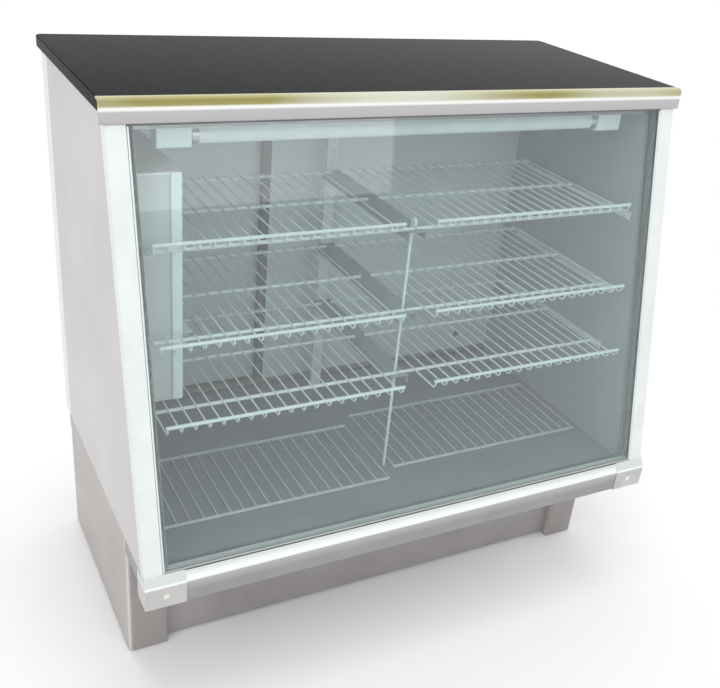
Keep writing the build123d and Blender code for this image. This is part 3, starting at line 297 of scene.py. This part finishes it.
def capPlastic():
    # moulded end cap: pale grey, with a painted highlight on the ridge where its sloped top starts and a top
    # made lighter as painted light
    material, tree, place = newMaterial("injection-moulded ABS, pale grey with light top")
    height = addNode(tree, "ShaderNodeSeparateXYZ", {"Vector": place}).outputs[2]
    edge, slope = [addNode(tree, "ShaderNodeMapRange", {
        "Value": height, "From Min": capBands[band][0], "From Max": capBands[band][1]})
        for band in ("edge", "ridge")]
    clouds = addNode(tree, "ShaderNodeTexNoise", {"Vector": place, "Scale": 1000 / 40, "Detail": 2.0})
    matt = addNode(tree, "ShaderNodeTexNoise", {"Vector": place, "Scale": 1000 / 0.8, "Detail": 1.0})
    body = addNode(tree, "ShaderNodeValToRGB", {"Fac": clouds}, [(0.3, "#bcb9b6"), (0.7, "#c8c5c2")])
    ridge = addNode(tree, "ShaderNodeValToRGB", {"Fac": slope}, capBands["ridgeHighlightStops"])
    colour = addNode(tree, "ShaderNodeMix", {0: edge, 6: body, 7: ridge}, data_type="RGBA").outputs[2]
    surface = addNode(tree, "ShaderNodeBsdfPrincipled", {
        "Base Color": colour,
        "Roughness": 0.26,
        "Normal": addNode(tree, "ShaderNodeBump", {"Height": matt, "Distance": 0.01 / 1000})})
    addNode(tree, "ShaderNodeOutputMaterial", {"Surface": surface})
    return material


plinthBands = {"returnToFold": (-0.1675, -0.1645), "foldToFace": (-0.1635, -0.158)}  # depths in metres


def plinthSteel():
    # folded plinth side: the white coat of the walls on its face, grey on the return at the front corner as
    # painted shade, and a painted highlight along the fold between them
    material, tree, place = newMaterial("polyester-coated steel, white with grey return")
    depth = addNode(tree, "ShaderNodeSeparateXYZ", {"Vector": place}).outputs[1]
    toFold, toFace = [addNode(tree, "ShaderNodeMapRange", {
        "Value": depth, "From Min": plinthBands[band][0], "From Max": plinthBands[band][1]})
        for band in ("returnToFold", "foldToFace")]
    clouds = addNode(tree, "ShaderNodeTexNoise", {"Vector": place, "Scale": 1000 / 150, "Detail": 3.0})
    peel = addNode(tree, "ShaderNodeTexNoise", {"Vector": place, "Scale": 1000 / 3.0, "Detail": 1.0})
    white = addNode(tree, "ShaderNodeValToRGB", {"Fac": clouds}, [(0.3, "#aea7a4"), (0.7, "#b8b0ad")])
    # the grey return is painted shade: the same white coat with less light on it
    grey = addNode(tree, "ShaderNodeValToRGB", {"Fac": clouds}, [(0.3, "#948f8d"), (0.7, "#9e9997")])
    # d6d2d0 along the fold is a painted highlight
    shadedReturnAndFoldHighlight = addNode(tree, "ShaderNodeMix", {0: toFold, 6: grey, 7: "#d6d2d0"}, data_type="RGBA").outputs[2]
    colour = addNode(tree, "ShaderNodeMix", {0: toFace, 6: shadedReturnAndFoldHighlight, 7: white}, data_type="RGBA").outputs[2]
    surface = addNode(tree, "ShaderNodeBsdfPrincipled", {
        "Base Color": colour,
        "Roughness": 0.36,
        "Normal": addNode(tree, "ShaderNodeBump", {"Height": peel, "Distance": 0.02 / 1000})})
    addNode(tree, "ShaderNodeOutputMaterial", {"Surface": surface})
    return material


wallBands = {"linerTo": 0.550, "skinFrom": 0.556}  # distance from the middle, in metres


def wallSteel():
    # foam panel in coated steel: the outer skin warm white, the liner inside a cooler grey, darkened as
    # painted shade inside the cabinet
    material, tree, place = newMaterial("polyester-coated steel, white with grey liner")
    across = addNode(tree, "ShaderNodeSeparateXYZ", {"Vector": place})
    outward = addNode(tree, "ShaderNodeMath", {0: across}, operation="ABSOLUTE")
    outside = addNode(tree, "ShaderNodeMapRange", {
        "Value": outward, "From Min": wallBands["linerTo"], "From Max": wallBands["skinFrom"]})
    clouds = addNode(tree, "ShaderNodeTexNoise", {"Vector": place, "Scale": 1000 / 170, "Detail": 3.0})
    peel = addNode(tree, "ShaderNodeTexNoise", {"Vector": place, "Scale": 1000 / 3.0, "Detail": 1.0})
    skin = addNode(tree, "ShaderNodeValToRGB", {"Fac": clouds}, [(0.3, "#cac7c4"), (0.7, "#cecbc8")])
    # the liner grey is partly painted shade: darker than the inner white of the ceiling and doors
    shadedLiner = addNode(tree, "ShaderNodeValToRGB", {"Fac": clouds}, [(0.3, "#9aa2a2"), (0.7, "#a2aaaa")])
    colour = addNode(tree, "ShaderNodeMix", {0: outside, 6: shadedLiner, 7: skin}, data_type="RGBA").outputs[2]
    surface = addNode(tree, "ShaderNodeBsdfPrincipled", {
        "Base Color": colour,
        "Roughness": addNode(tree, "ShaderNodeMapRange", {
            "Value": clouds, "From Min": 0.3, "From Max": 0.7, "To Min": 0.4, "To Max": 0.31}),
        "Normal": addNode(tree, "ShaderNodeBump", {"Height": peel, "Distance": 0.02 / 1000})})
    addNode(tree, "ShaderNodeOutputMaterial", {"Surface": surface})
    return material


floorBands = {"edgeTo": 0.3235, "treadFrom": 0.3245}  # heights in metres


def floorSteel():
    # foam floor in coated steel: worn satin grey where goods stand, the white coat of the walls on its edges
    material, tree, place = newMaterial("polyester-coated steel, grey tread and white edges")
    height = addNode(tree, "ShaderNodeSeparateXYZ", {"Vector": place}).outputs[2]
    onTop = addNode(tree, "ShaderNodeMapRange", {
        "Value": height, "From Min": floorBands["edgeTo"], "From Max": floorBands["treadFrom"]})
    clouds = addNode(tree, "ShaderNodeTexNoise", {"Vector": place, "Scale": 1000 / 90, "Detail": 3.0})
    stretched = addNode(tree, "ShaderNodeMapping", {"Vector": place, "Scale": (0.03, 1, 1)})
    rubbed = addNode(tree, "ShaderNodeTexNoise", {"Vector": stretched, "Scale": 1000 / 9, "Detail": 2.0})
    worn = addNode(tree, "ShaderNodeMapRange", {
        "Value": rubbed, "From Min": 0.35, "From Max": 0.75, "To Min": 0.0, "To Max": 0.5})
    grey = addNode(tree, "ShaderNodeValToRGB", {"Fac": clouds}, [(0.3, "#6b7272"), (0.7, "#767d7d")])
    tread = addNode(tree, "ShaderNodeMix", {0: worn, 6: grey, 7: "#828989"}, data_type="RGBA").outputs[2]
    edge = addNode(tree, "ShaderNodeValToRGB", {"Fac": clouds}, [(0.3, "#cbc8c5"), (0.7, "#d6d3d0")])
    colour = addNode(tree, "ShaderNodeMix", {0: onTop, 6: edge, 7: tread}, data_type="RGBA").outputs[2]
    surface = addNode(tree, "ShaderNodeBsdfPrincipled", {
        "Base Color": colour,
        "Roughness": addNode(tree, "ShaderNodeMapRange", {
            "Value": rubbed, "From Min": 0.3, "From Max": 0.7, "To Min": 0.3, "To Max": 0.42}),
        "Normal": addNode(tree, "ShaderNodeBump", {"Height": rubbed, "Distance": 0.02 / 1000})})
    addNode(tree, "ShaderNodeOutputMaterial", {"Surface": surface})
    return material


spacerBands = {"sillTo": 0.336, "sideFrom": 0.342}  # heights in metres


def spacerBar():
    # roll-formed aluminium spacer in grey butyl: pale along the sill, darker grey and streaked up the sides
    material, tree, place = newMaterial("aluminium spacer, butyl-sealed")
    height = addNode(tree, "ShaderNodeSeparateXYZ", {"Vector": place}).outputs[2]
    aboveSill = addNode(tree, "ShaderNodeMapRange", {
        "Value": height, "From Min": spacerBands["sillTo"], "From Max": spacerBands["sideFrom"]})
    stretched = addNode(tree, "ShaderNodeMapping", {"Vector": place, "Scale": (1, 1, 0.01)})
    lines = addNode(tree, "ShaderNodeTexNoise", {"Vector": stretched, "Scale": 1000 / 2.0, "Detail": 1.0})
    side = addNode(tree, "ShaderNodeValToRGB", {"Fac": lines}, [(0.35, "#6a7373"), (0.65, "#98a1a1")])
    colour = addNode(tree, "ShaderNodeMix", {
        0: aboveSill, 6: "#bcc7c3", 7: side}, data_type="RGBA").outputs[2]
    surface = addNode(tree, "ShaderNodeBsdfPrincipled", {
        "Base Color": colour,
        "Roughness": 0.5,
        "Normal": addNode(tree, "ShaderNodeBump", {"Height": lines, "Distance": 0.1 / 1000})})
    addNode(tree, "ShaderNodeOutputMaterial", {"Surface": surface})
    return material


finishes = {
    "polishedGranite": polishedGranite(),
    "nosing": nosing(),
    "glass": clearGlass(),
    "lamp": lampGlass(),
    "bumperVinyl": bumperVinyl(),
    "capPlastic": capPlastic(),
    "plinthSteel": plinthSteel(),
    "spacerBar": spacerBar(),
    # coated steel of the foam panels: colours pale and deep, roughness, then grain, depth and cloud in mm
    "panelSteel": wallSteel(),
    "floorSteel": floorSteel(),
    "innerSteel": coatedSteel("polyester-coated steel, inner white", "#d2d7d7", "#ced4d4", 0.4, 3.0),
    # painted and enamelled steel
    # grey coat; on the kick plate this grey also stands in for the shade under the bumper, as painted shade
    "plinthPaint": coatedSteel("powder coat on steel, grey", "#a39ea0", "#999496", 0.42, 1.6, 0.03, 110),
    "framePaint": coatedSteel("enamelled steel tube, black", "#2b2b2d", "#202021", 0.45),
    "whitePaint": coatedSteel("baked enamel on steel, white", "#e9ebe8", "#dfe2df", 0.32, 1.5),
    "housingPaint": coatedSteel(
        "baked enamel on steel, off-white", "#d3d5d1", "#c2c4bf", 0.36, 2.0, 0.02, 120),
    "railSteel": coatedSteel("galvanised strip, passivated", "#9aa1a1", "#8c9393", 0.4, 2.0, 0.02, 30),
    "blackEnamel": coatedSteel("brushed-on enamel, black", "#1c1c1e", "#131314", 0.35, 2.0, 0.05),
    # dipped wire: smooth, with long shallow runs in the coat
    "whiteWire": coatedSteel("epoxy-dipped wire, white", "#e6ebea", "#dde2e1", 0.3, 8.0, 0.004, 40),
    "rackWire": coatedSteel("epoxy-dipped wire, greyed by wear", "#c3c9c8", "#b6bdbc", 0.36, 8.0, 0.004, 40),
    # plastics and ink
    "whiteVinyl": mouldedPlastic("rigid vinyl, white", "#e9eeeb", "#e1e6e3", 0.24, 0.8, 0.01),
    "greyVinyl": mouldedPlastic("injection-moulded ABS, pale grey", "#c4c0be", "#bab6b3", 0.3),
    "blackPlastic": mouldedPlastic("glass-filled nylon, black", "#1e1f20", "#161718", 0.5),
    "blackInk": mouldedPlastic("screen-printed epoxy ink, black", "#1b1b1c", "#161617", 0.6),
    "redPlastic": mouldedPlastic("polycarbonate rocker, red", "#a8120f", "#8e0d0b", 0.2),
    "seal": mouldedPlastic("flexible vinyl edge, dark grey", "#5a5f5e", "#4b504f", 0.55),
    # mid-grey strip that stands for the painted shadow line under the nosing
    "shadowLineGrey": mouldedPlastic("mid-grey strip, painted shadow under the nosing", "#7f8584", "#727877", 0.5),
    # bare metals: colours pale and deep, roughness, then stroke and grit in mm
    "aluminium": brushedMetal("anodised aluminium, extruded", "#b9bab9", "#a5a7a6", 0.34),
    "nickel": brushedMetal("nickel-plated steel, polished", "#f2f2f0", "#e4e4e2", 0.14, 6, 0.6),
    "zinc": brushedMetal("zinc-plated steel", "#b4b6b2", "#93968f", 0.4, 12, 1.5),
    "copper": brushedMetal("drawn copper tube", "#c98461", "#a76043", 0.34, 20, 1.0),
    "condenserFins": finStack("aluminium fins, condenser", "#b7bbbd", 1.8, 0),
    "evaporatorFins": finStack("aluminium fins, evaporator", "#b7bbbd", 2.5, 1),
}
print("finishes made:", len(finishes))

nodeFinish = {
    "polishedGranite": ["counter_top"],
    "nosing": ["front_trim"],
    "glass": ["glass_outer", "glass_inner"],
    "lamp": ["lamp_tube"],
    "panelSteel": ["side_wall_right", "side_wall_left"],
    "innerSteel": ["ceiling_panel", "door_right_panel", "door_left_panel"],
    "floorSteel": ["floor_pan"],
    "whiteVinyl": ["front_post_right", "front_post_left", "door_jamb_right", "door_jamb_left",
                   "lamp_holders"],
    "bumperVinyl": ["bumper_rail"],
    "plinthSteel": ["base_side_right", "base_side_left"],
    "capPlastic": ["bumper_caps"],
    "plinthPaint": ["kick_plate", "rear_grille", "control_panel"],
    "framePaint": ["base_frame"],
    "whitePaint": ["lamp_batten", "wall_rails", "centre_upright"],
    "housingPaint": ["evaporator_cover"],
    "whiteWire": ["centre_rod"] + [f"shelf_{n}_{side}" for n in (1, 2, 3) for side in ("right", "left")],
    "rackWire": ["floor_rack_right", "floor_rack_left"],
    "aluminium": ["head_rail", "door_track_bottom", "door_track_top", "condenser_fan_blades"],
    "railSteel": ["centre_rails"],
    "nickel": ["case_screws"],
    "zinc": ["levelling_feet", "unit_tray"],
    "blackEnamel": ["compressor", "condenser_fan_shroud", "condenser_fan_motor", "evaporator_fan_motors"],
    "blackPlastic": ["cord_gland", "thermostat_knob", "evaporator_fan_upper", "evaporator_fan_lower"],
    "redPlastic": ["light_switch"],
    "seal": ["door_right_edge", "door_left_edge"],
    "spacerBar": ["glass_spacer"],
    "copper": ["refrigerant_pipes"],
    "condenserFins": ["condenser_coil"],
    "evaporatorFins": ["evaporator_coil"],
}
for finish, names in nodeFinish.items():
    for name in names:
        for materialSlot in nodes[name].material_slots:
            materialSlot.material = finishes[finish]
print("nodes dressed:", sum(len(names) for names in nodeFinish.values()), "of", len(nodes))

pieceMaking = {
    "bevelSegments": 3,
    "smoothAngle": 35,  # degrees
    "touch": 1e-6,  # metres; points nearer than this are one
}


def mm(*values):
    return tuple(value / 1000 for value in values)


def addBar(shape, low, high, rounding, turn=Matrix.Identity(4)):  # mm; box with rounded edges
    made = bmesh.ops.create_cube(shape, size=1.0)["verts"]
    bmesh.ops.scale(shape, vec=mm(*[b - a for a, b in zip(low, high)]), verts=made)
    bmesh.ops.translate(shape, vec=mm(*[(a + b) / 2 for a, b in zip(low, high)]), verts=made)
    bmesh.ops.transform(shape, matrix=turn, verts=made)
    corners = set(made)
    edges = [edge for edge in shape.edges if edge.verts[0] in corners]
    bmesh.ops.bevel(shape, geom=edges, offset=rounding / 1000, affect="EDGES",
                    segments=pieceMaking["bevelSegments"], profile=0.5, material=-1)


def finishPiece(name, shape, finish, body):
    bmesh.ops.remove_doubles(shape, verts=shape.verts, dist=pieceMaking["touch"])
    bmesh.ops.recalc_face_normals(shape, faces=shape.faces)
    mesh = bpy.data.meshes.new(name)
    shape.to_mesh(mesh)
    shape.free()
    mesh.materials.append(finishes[finish])
    mesh.shade_smooth()
    mesh.set_sharp_from_angle(angle=math.radians(pieceMaking["smoothAngle"]))
    piece = bpy.data.objects.new(name, mesh)
    bpy.context.scene.collection.objects.link(piece)
    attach(piece, body)


glazing = {  # mm; heights run up the leaning pane from the floor of the cabinet
    "foot": (0, -330, 325),
    "lean": 12,  # degrees
    "halfWidth": 556.4,
    "paneFace": 3.0,
    "beadFront": 1.2,
    "beadWidth": 3.2,
    "shadowLineFront": 0.6,
    "shadowLineBottom": 799,
    "shadowLineTop": 802,
    "sillBottom": 8,
    "gap": 0.3,
    "rounding": 0.8,
}


def glazingSeals():
    turn = Matrix.Translation(mm(*glazing["foot"])) @ Matrix.Rotation(math.radians(-glazing["lean"]), 4, "X")
    half, front, back = glazing["halfWidth"], glazing["beadFront"], glazing["paneFace"]
    width, low, high = glazing["beadWidth"], glazing["sillBottom"], glazing["shadowLineBottom"]
    gap, rounding = glazing["gap"], glazing["rounding"]
    top = bmesh.new()
    # mid-grey strip under the nosing, in front of the outer pane: a painted shadow line where the nosing
    # overhangs the glass
    addBar(top, (-half, glazing["shadowLineFront"], high), (half, back, glazing["shadowLineTop"]), rounding, turn)
    finishPiece("glassTopShadowLine", top, "shadowLineGrey", "cabinet")
    beads = bmesh.new()
    for x in (-half, half - width):
        addBar(beads, (x, front, low), (x + width, back, high - gap), rounding, turn)
    finishPiece("glassSideBeads", beads, "whiteVinyl", "cabinet")
    sill = bmesh.new()
    reach = half - width - gap
    addBar(sill, (-reach, front, low), (reach, back, low + width), rounding, turn)
    finishPiece("glassSillBead", sill, "greyVinyl", "cabinet")


glazingSeals()
print("glazing seals made")

housingTrim = {  # mm
    "x": (-479, -459.4),
    "y": (-135, -131.3),
    "z": (581, 1019),
    "rounding": 1.7,
    "beadLeft": -541.5,
    "beadFront": -133.6,
    "beadHeight": 3,
    "beadRounding": 0.9,
    "gap": 0.3,
}


def housingCorner():  # strip down the front corner of the housing, and a bead over its top edge; their white also stands in for the light on these edges, as painted highlight
    (left, right), (front, back), (low, high) = housingTrim["x"], housingTrim["y"], housingTrim["z"]
    strip = bmesh.new()
    addBar(strip, (left, front, low), (right, back, high), housingTrim["rounding"])
    addBar(strip, (housingTrim["beadLeft"], housingTrim["beadFront"], high - housingTrim["beadHeight"]),
           (left - housingTrim["gap"], back, high), housingTrim["beadRounding"])
    finishPiece("housingCornerHighlightStrip", strip, "whiteVinyl", "cabinet")


housingCorner()
print("housing strip made")

sweep = {"reach": 541, "y": (277.4, 279.8), "z": (325.2, 332), "gap": 0.3, "rounding": 0.6}  # mm


def trackSweep():  # dark sweep that closes the gap under the rear doors, in two lengths beside the upright
    (front, back), (low, high) = sweep["y"], sweep["z"]
    upright = [1000 * corner[0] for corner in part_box("centre_upright")]
    lengths = ((-sweep["reach"], upright[0] - sweep["gap"]), (upright[1] + sweep["gap"], sweep["reach"]))
    shape = bmesh.new()
    for left, right in lengths:
        addBar(shape, (left, front, low), (right, back, high), sweep["rounding"])
    finishPiece("rearTrackSweep", shape, "seal", "cabinet")


trackSweep()
print("track sweep made")

doorPull = {  # mm; plastic rim round each finger cup, seen from behind
    "x": 476.5,
    "z": 760,
    "size": (32, 110),
    "corner": 8,
    "rim": 5,
    "clear": 0.1,
    "proud": 1.0,
    "rounding": 0.4,
    "cornerSteps": 6,  # edges in each round corner
    "sideAndFace": {"rear_door_right": (1, 301.125), "rear_door_left": (-1, 323.875)},
}


def roundedLoop(shape, x, y, margin, corner):  # closed loop of edges, the cup's outline grown by a margin
    width, height = (size + 2 * margin for size in doorPull["size"])
    verts = []
    for quarter, (side, level) in enumerate(((1, 1), (-1, 1), (-1, -1), (1, -1))):
        for step in range(doorPull["cornerSteps"] + 1):
            angle = math.radians(90 * (quarter + step / doorPull["cornerSteps"]))
            verts.append(shape.verts.new(mm(
                x + side * (width / 2 - corner) + corner * math.cos(angle), y,
                doorPull["z"] + level * (height / 2 - corner) + corner * math.sin(angle))))
    return [shape.edges.new((verts[i], verts[i - 1])) for i in range(len(verts))]


def pullRims():
    rim, clear, corner = doorPull["rim"], doorPull["clear"], doorPull["corner"]
    for body, (side, face) in doorPull["sideAndFace"].items():
        shape = bmesh.new()
        outer = roundedLoop(shape, side * doorPull["x"], face, rim, corner + rim)
        inner = roundedLoop(shape, side * doorPull["x"], face, clear, corner)
        ring = bmesh.ops.bridge_loops(shape, edges=outer + inner)["faces"]
        grown = bmesh.ops.extrude_face_region(shape, geom=ring)["geom"]
        bmesh.ops.translate(shape, vec=mm(0, doorPull["proud"], 0),
                            verts=[part for part in grown if isinstance(part, bmesh.types.BMVert)])
        level = (face + doorPull["proud"]) / 1000
        rounded = [edge for edge in shape.edges if edge.calc_face_angle(0) > 1
                   and all(abs(vert.co.y - level) < pieceMaking["touch"] for vert in edge.verts)]
        bmesh.ops.bevel(shape, geom=rounded, offset=doorPull["rounding"] / 1000, affect="EDGES", segments=2,
                        profile=0.5, material=-1)
        finishPiece(body + "_pullRim", shape, "greyVinyl", body)


pullRims()
print("pull rims made")

doorPlug = {  # mm; blanking plug on the inner face of the right door
    "place": (441, 283.1, 387),
    "profile": [(0, 0.5), (4.675, 0.5), (5.95, 1.6), (7.82, 1.44), (8.5, 0)],  # radius and height
    "steps": 28,  # edges round the plug
}


def plugInDoor():
    shape = bmesh.new()
    verts = [shape.verts.new(mm(radius, -height, 0)) for radius, height in doorPlug["profile"]]
    edges = [shape.edges.new(pair) for pair in zip(verts, verts[1:])]
    bmesh.ops.spin(shape, geom=verts + edges, cent=(0, 0, 0), axis=(0, 1, 0), angle=math.tau,
                   steps=doorPlug["steps"], use_merge=True)
    bmesh.ops.translate(shape, vec=mm(*doorPlug["place"]), verts=shape.verts)
    finishPiece("rear_door_right_plug", shape, "blackPlastic", "rear_door_right")


plugInDoor()
print("door plug made")

dial = {  # mm; scale round the thermostat knob and marks at the switch, read from behind the counter
    "centre": (400, 195),
    "face": 321.2,
    "ink": 0.12,
    "numbers": 7,  # 0 to 6
    "step": 45,  # degrees from one number to the next
    "numberRadius": 26.5,
    "numberSize": 6.5,
    "tickHalf": 0.4,
    "tick": (19.5, 22.5),
    "tickRounding": 0.04,
    "pointerHalf": 0.8,
    "pointerY": (337.6, 337.9),
    "pointer": (4, 15),
    "pointerRounding": 0.1,
    "switch": (490, 195),
    "switchReach": 20,
    "switchSize": 6,
}


def stampText(shape, word, x, z, size):  # a word in raised ink on the panel, centred at x and z, facing +Y
    curve = bpy.data.curves.new("stamp", "FONT")
    curve.body = word
    curve.size = size / 1000
    curve.align_x = "CENTER"
    curve.align_y = "CENTER"
    curve.extrude = dial["ink"] / 2000
    letter = bpy.data.objects.new("stamp", curve)
    mesh = bpy.data.meshes.new_from_object(letter)
    mesh.transform(Matrix.Translation(mm(x, dial["face"] + dial["ink"] / 2, z))
                   @ Matrix.Rotation(math.pi, 4, "Z") @ Matrix.Rotation(math.pi / 2, 4, "X"))
    shape.from_mesh(mesh)
    bpy.data.objects.remove(letter)
    bpy.data.curves.remove(curve)
    bpy.data.meshes.remove(mesh)


def panelMarks():
    marks = bmesh.new()
    x, z = dial["centre"]
    half, (start, end), reach = dial["tickHalf"], dial["tick"], dial["numberRadius"]
    for number in range(dial["numbers"]):
        angle = math.radians(number * dial["step"])
        across, up = -reach * math.sin(angle), reach * math.cos(angle)
        stampText(marks, str(number), x + across, z + up, dial["numberSize"])
        turn = Matrix.Translation(mm(x, dial["face"], z)) @ Matrix.Rotation(-angle, 4, "Y")
        addBar(marks, (-half, 0, start), (half, dial["ink"], end), dial["tickRounding"], turn)
    switchX, switchZ = dial["switch"]
    for word, level in (("I", dial["switchReach"]), ("O", -dial["switchReach"])):
        stampText(marks, word, switchX, switchZ + level, dial["switchSize"])
    finishPiece("controlPanelMarks", marks, "blackInk", "cabinet")
    pointer = bmesh.new()
    half, (front, back), (start, end) = dial["pointerHalf"], dial["pointerY"], dial["pointer"]
    addBar(pointer, (x - half, front, z + start), (x + half, back, z + end), dial["pointerRounding"])
    finishPiece("thermostatPointer", pointer, "whiteVinyl", "thermostat_dial")


panelMarks()
print("panel marks made")

floorSettings = {  # size and fade in metres
    "size": 40.0,
    "colour": "#f8f8f7",
    "roughness": 0.8,
    "fadeFrom": 0.7,
    "fadeTo": 1.35,
}


def seenDirectly(tree):  # 1 for camera, glossy and transmission rays, 0 for the rays that light the object
    path = addNode(tree, "ShaderNodeLightPath")
    first = addNode(tree, "ShaderNodeMath", {
        0: path.outputs["Is Camera Ray"], 1: path.outputs["Is Glossy Ray"]}, operation="MAXIMUM")
    return addNode(tree, "ShaderNodeMath", {
        0: first, 1: path.outputs["Is Transmission Ray"]}, operation="MAXIMUM")


def paleFloor():
    # matt pale floor that keeps the shadow near the object and runs into the white background further out
    material, tree, place = newMaterial("studio floor, pale")
    matt = addNode(tree, "ShaderNodeBsdfPrincipled", {
        "Base Color": floorSettings["colour"], "Roughness": floorSettings["roughness"]})
    distance = addNode(tree, "ShaderNodeVectorMath", {0: place}, operation="LENGTH").outputs["Value"]
    far = addNode(tree, "ShaderNodeMapRange", {
        "Value": distance, "From Min": floorSettings["fadeFrom"], "From Max": floorSettings["fadeTo"]})
    factor = addNode(tree, "ShaderNodeMath", {0: far, 1: seenDirectly(tree)}, operation="MULTIPLY")
    white = addNode(tree, "ShaderNodeEmission", {"Color": "#ffffff", "Strength": 1.0})
    surface = addNode(tree, "ShaderNodeMixShader", {0: factor, 1: matt, 2: white})
    addNode(tree, "ShaderNodeOutputMaterial", {"Surface": surface})
    mesh = bpy.data.meshes.new("floor")
    shape = bmesh.new()
    bmesh.ops.create_grid(shape, x_segments=1, y_segments=1, size=floorSettings["size"] / 2)
    shape.to_mesh(mesh)
    shape.free()
    mesh.materials.append(material)
    floor = bpy.data.objects.new("floor", mesh)
    bpy.context.scene.collection.objects.link(floor)


studio = {
    "worldStrength": 0.62,
    "worldColour": "#f2f5f8",
    "lamps": [  # name, place, aim, size, power
        ("keyLight", (-2.9, -2.3, 3.2), (0.0, 0.0, 0.6), 2.4, 54),
        ("frontLight", (0.6, -3.6, 2.4), (0.0, 0.0, 0.7), 2.6, 22),
        ("sideLight", (3.4, -0.8, 2.4), (0.0, 0.0, 0.6), 2.4, 26),
        ("topLight", (0.2, 0.2, 3.8), (0.0, 0.0, 1.0), 2.8, 48),
        ("rearLight", (-0.8, 3.4, 2.4), (0.0, 0.0, 0.6), 2.0, 40),
    ],
}


def studioLight():
    scene = bpy.context.scene
    scene.view_settings.view_transform = "Standard"
    world = bpy.data.worlds.new("studio")
    scene.world = world
    world.use_nodes = True
    tree = world.node_tree
    tree.nodes.clear()
    soft = addNode(tree, "ShaderNodeBackground", {
        "Color": studio["worldColour"], "Strength": studio["worldStrength"]})
    white = addNode(tree, "ShaderNodeBackground", {"Color": "#ffffff", "Strength": 1.0})
    background = addNode(tree, "ShaderNodeMixShader", {0: seenDirectly(tree), 1: soft, 2: white})
    addNode(tree, "ShaderNodeOutputWorld", {"Surface": background})
    for name, place, aim, size, power in studio["lamps"]:
        light = bpy.data.lights.new(name, "AREA")
        light.size = size
        light.energy = power
        lamp = bpy.data.objects.new(name, light)
        lamp.location = place
        lamp.rotation_euler = (Vector(aim) - Vector(place)).to_track_quat("-Z", "Y").to_euler()
        lamp.visible_glossy = False  # the stone and the panes reflect the plain background, not the lamps
        scene.collection.objects.link(lamp)


cameraSettings = {
    "place": (-0.9298, -1.6409, 1.5147),
    "turn": (60.972, -5.657, -27.755),  # degrees about X, Y and Z
    "sensor": 36,
    "lens": 47.34,
    "shift": (-0.029, 0.0489),
}


def photoCamera():
    data = bpy.data.cameras.new("camera")
    data.sensor_width = cameraSettings["sensor"]
    data.lens = cameraSettings["lens"]
    data.shift_x, data.shift_y = cameraSettings["shift"]
    camera = bpy.data.objects.new("camera", data)
    camera.location = cameraSettings["place"]
    camera.rotation_euler = [math.radians(angle) for angle in cameraSettings["turn"]]
    bpy.context.scene.collection.objects.link(camera)
    bpy.context.scene.camera = camera


paleFloor()
studioLight()
photoCamera()
print("studio and camera ready")
